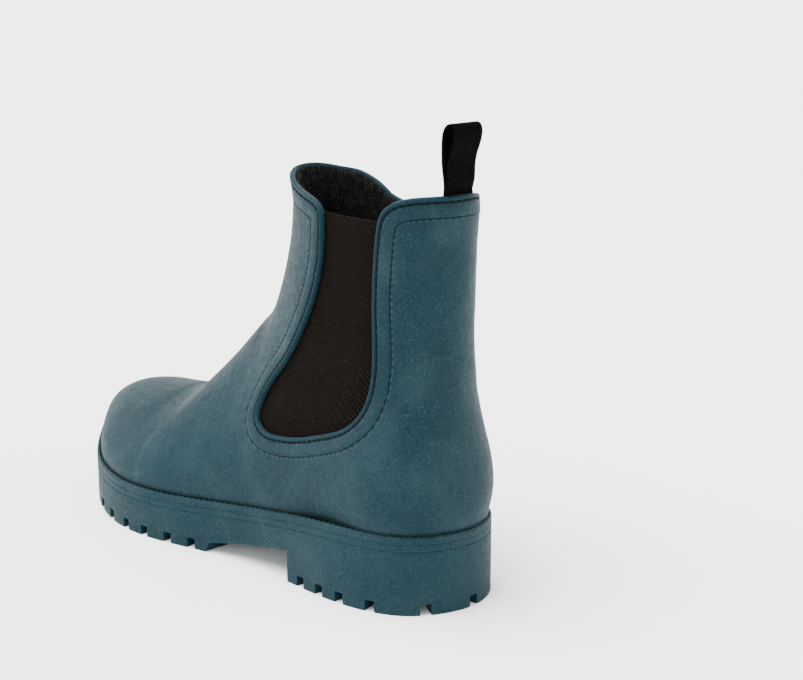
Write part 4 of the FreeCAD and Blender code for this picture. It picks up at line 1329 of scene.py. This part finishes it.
def finish_rubber(look, extra=None):
    """Give the rubber its colour and its fine pebbled relief, and any other relief over it."""
    look.set("Base Color", look.color)
    pebble = look.bump(look.noise(750, 3), 0.00025)
    if extra is not None:
        look.bump(extra, 0.00028, pebble)


def upper_rubber():
    """Rubber of the upper: moulded seam with painted shade in its dashes and a painted highlight beside
    them, thread groove with painted shade, bright lip, counter edge with a painted highlight, and
    painted shade at the foot.
    """
    look = rubber("boot_rubber")
    far, run, counter = look.value("edge_far"), look.value("edge_run"), look.value("counter_far")
    # Dark dashes in the seam are painted shade in its moulded stitch dents; the pale dashes beside them
    # are a painted highlight on its raised side.
    seam = look.band(far, 9.2, 0.55)
    dashes = look.times(seam, look.dashes(run, 3.3, 0.66))
    pale = look.times(look.band(far, 9.95, 0.45), look.dashes(run, 3.3, 0.5, 1.2))
    look.lay(pale, 0.75, FLECK_AND_HIGHLIGHT)
    look.lay(seam, 0.3, EDGE_TEAL)
    look.lay(dashes, 0.8, DARK_SPECK_AND_SHADE)
    # Painted shade in the thread groove.
    groove = look.band(far, 2.35, 0.75)
    look.lay(groove, 0.7, DARK_SPECK_AND_SHADE)
    lip = look.opposite(look.ramp(far, 1.3, 1.9))
    look.lay(lip, 0.92, EDGE_TEAL)
    # A painted highlight along the heel counter's raised edge.
    counter_highlight = look.times(look.ramp(counter, -0.8, 0.0), look.ramp(counter, 2.2, 0.4))
    look.lay(counter_highlight, 0.22, BLOOM_AND_HIGHLIGHT)
    # Painted shade at the foot of the upper, in the crease above the welt.
    foot = look.ramp(look.value("above_welt"), 2.6, 0.3)
    look.lay(foot, 0.75, DARK_SPECK_AND_SHADE)
    finish_rubber(look, look.math("SUBTRACT", look.times(pale, 0.6), dashes))
    return look


def sole_rubber():
    """Rubber of the sole, with painted highlights along its edges."""
    look = rubber("sole_rubber", 0.4)
    # Where the bevelled normal turns away from the plain one, the edges get a painted highlight in
    # bright teal.
    bevel = look.add("ShaderNodeBevel", 0.0006, samples=6).outputs[0]
    plain_normal = look.add("ShaderNodeNewGeometry").outputs["Normal"]
    facing = look.add("ShaderNodeVectorMath", bevel, plain_normal, operation="DOT_PRODUCT")
    wear_and_edge_highlight = look.ramp(facing.outputs["Value"], 0.99, 0.86)
    look.lay(wear_and_edge_highlight, 0.6, (0.006, 0.060, 0.070))
    finish_rubber(look)
    return look


def welt_rubber():
    """Rubber of the welt, with painted shade in the crease against the upper."""
    look = rubber("welt_rubber", 0.45)
    # Painted shade in the crease against the upper.
    deep = look.ramp(look.value("inset"), 1.4, 2.1)
    look.lay(deep, 0.95, DARK_SPECK_AND_SHADE)
    finish_rubber(look)
    return look


def elastic():
    """Fine ribbed elastic webbing, with slanting puckers in bump and in painted shade and highlight."""
    look = Look("gore_elastic", (0.0060, 0.0048, 0.0040), 0.95, 0.02)
    height, along = look.axis(2), look.axis(0)
    drift = look.times(look.noise(60, 2), 0.0012)
    ribs = look.wave(look.plus(height, drift), 0.00098)
    cords = look.wave(look.plus(along, drift), 0.0013)
    cloth = look.plus(look.times(ribs, 0.5), look.times(cords, 0.22))
    fuzz = look.ramp(look.noise(1500, 2), 0.45, 0.75)
    light = look.times(look.ramp(cloth, -0.3, 0.7), 0.45)
    look.color = look.mix(light, (0.0029, 0.0023, 0.0019), (0.0068, 0.0055, 0.0046))
    slant = look.plus(look.times(along, PUCKER_WAY[0]),
                      look.times(height, PUCKER_WAY[1]))
    folds = look.wave(look.plus(slant, look.times(drift, 0.5)), PUCKER_PITCH * MM)
    strength = look.times(look.value("pucker"), 0.7)
    # Painted shade in the puckers' troughs and a painted highlight on their crests, over the bump.
    look.lay(look.ramp(folds, -0.2, 0.8), strength, (0.0006, 0.0005, 0.0004))
    look.lay(look.ramp(folds, -0.2, -0.9), look.times(strength, 0.6), (0.0105, 0.0088, 0.0076))
    look.lay(fuzz, 0.3, (0.0104, 0.0086, 0.0074))
    look.set("Base Color", look.color)
    before = look.bump(cloth, 0.00022)
    look.bump(look.times(folds, strength), 0.0003, before)
    return look


def knit():
    """Black knit with small paler loops."""
    look = Look("lining_knit", (0.0050, 0.0048, 0.0045), 0.95, 0.03)
    height = look.axis(2)
    round_it = look.plus(look.axis(0), look.times(look.axis(1), 0.8))
    drift = look.times(look.noise(35, 2), 0.004)
    rows = look.wave(look.plus(height, drift), 0.0023)
    loops = look.wave(look.plus(round_it, look.times(height, 0.45)), 0.0016)
    cloth = look.times(rows, loops)
    spots = look.times(look.ramp(cloth, 0.3, 0.8), look.ramp(look.noise(420, 2), 0.42, 0.62))
    look.set("Base Color", look.mix(spots, (0.0048, 0.0046, 0.0043), (0.0330, 0.0313, 0.0288)))
    look.bump(cloth, 0.00025)
    return look


def twill():
    """Black herringbone tape."""
    look = Look("loop_tape", (0.0020, 0.0017, 0.0014), 0.95, 0.02)
    across, run = look.math("ABSOLUTE", look.value("tape_across")), look.value("tape_run")
    slant = look.plus(across, look.math("DIVIDE", run, 2.3))
    rib = look.wave(slant, 0.98)
    picks = look.wave(run, 0.55)
    cloth = look.plus(rib, look.times(picks, 0.3))
    raised = look.ramp(cloth, -0.2, 1.0)
    look.color = look.mix(raised, (0.0001, 0.0001, 0.0001), (0.0042, 0.0032, 0.0024))
    look.lay(look.ramp(look.noise(1600, 2), 0.62, 0.8), 0.5, (0.0070, 0.0056, 0.0046))
    look.set("Base Color", look.color)
    look.bump(cloth, 0.0002)
    return look


def thread():
    """Dark twisted thread."""
    look = Look("thread", (0.0014, 0.0026, 0.0050), 0.7, 0.06)
    ply = look.wave(look.plus(look.axis(2), look.plus(look.axis(0), look.axis(1))), 0.0005)
    look.bump(ply, 0.00006)
    return look


def plain(name, dark, light, roughness, scale, depth, metallic=0.0):
    """A simple grained finish for the pieces inside."""
    look = Look(name, dark, roughness)
    grain = look.noise(scale, 4)
    look.set("Base Color", look.mix(look.ramp(grain, 0.35, 0.65), dark, light))
    look.set("Metallic", metallic)
    look.bump(grain, depth)
    return look


# ---------------------------------------------------------------- floor, light
def build_stage():
    """A flat floor that rises into a wide soft bowl, far from the boot, so that no horizon shows."""
    turns = np.linspace(0, 2 * np.pi, 96, endpoint=False)
    across, rings = np.array([np.cos(turns), np.sin(turns)]).T, np.linspace(0, 1, 25)
    points = [np.zeros((1, 3))]
    for share in rings:
        radius = SWEEP_START + (SWEEP_END - SWEEP_START) * share
        points.append(np.column_stack([across * radius, np.full(len(turns), SWEEP_RISE * share ** 2)]))
    faces = [[0, 1 + i, 1 + (i + 1) % len(turns)] for i in range(len(turns))]
    faces += [[i + 1 for i in f] for f in grid_faces(len(rings), len(turns), round_columns=True)]
    floor = new_object("floor", np.vstack(points), faces)
    look = Look("pale_floor", FLOOR_COLOR, 0.9, 0.05)
    grain = look.noise(3, 2)
    look.set("Base Color", look.mix(look.ramp(grain, 0.3, 0.7), FLOOR_COLOR, FLOOR_LIGHT))
    look.give(floor)


def build_light():
    """One large soft key light from above, and an even world."""
    data = bpy.data.lights.new("key", "SUN")
    data.energy, data.angle = KEY_STRENGTH, math.radians(KEY_SPREAD)
    key = bpy.data.objects.new("key", data)
    scene.collection.objects.link(key)
    key.rotation_euler = (-Vector(KEY_PLACE)).to_track_quat("-Z", "Y").to_euler()
    world = bpy.data.worlds.new("studio")
    world.use_nodes = True
    background = world.node_tree.nodes["Background"]
    background.inputs["Color"].default_value = (1, 1, 1, 1)
    background.inputs["Strength"].default_value = WORLD_STRENGTH
    scene.world = world


FLOOR_COLOR, FLOOR_LIGHT = (0.93, 0.93, 0.93), (0.935, 0.935, 0.935)
SWEEP_START, SWEEP_END, SWEEP_RISE = 3.0, 16.0, 9.0
KEY_PLACE, KEY_STRENGTH, KEY_SPREAD, WORLD_STRENGTH = (0.45, 0.45, 1.5), 9.6, 60, 1.35

build_stage()
build_light()
shell = build_shell()
sole = build_sole()
welt = build_welt()
gores = [build_gore(1, "lateral_gore"), build_gore(-1, "medial_gore")]
lining = build_lining()
footbed = build_footbed()
threads = build_stitching()
loop = build_loop()
tails, tack = build_anchor()

upper_rubber().give(shell)
sole_rubber().give(sole)
welt_rubber().give(welt)
elastic().give(*gores)
knit().give(lining)
twill().give(loop, tails)
thread().give(tack, *threads)
plain("footbed_foam", (0.012, 0.012, 0.013), (0.026, 0.026, 0.027), 0.9, 700, 0.0002).give(footbed)
INSIDE = {
    "heel_core": plain("core_foam", (0.10, 0.10, 0.10), (0.16, 0.16, 0.16), 0.9, 500, 0.0003),
    "shank": plain("shank_steel", (0.45, 0.45, 0.46), (0.55, 0.55, 0.56), 0.35, 200, 0.00003, 1.0),
    "toe_puff": plain("stiffener_board", (0.52, 0.48, 0.40), (0.60, 0.56, 0.47), 0.8, 400, 0.0001),
    "insole_board": plain("insole_fibre", (0.40, 0.33, 0.24), (0.50, 0.42, 0.32), 0.85, 600, 0.0001),
}
for node, look in INSIDE.items():
    look.give(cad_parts[node])
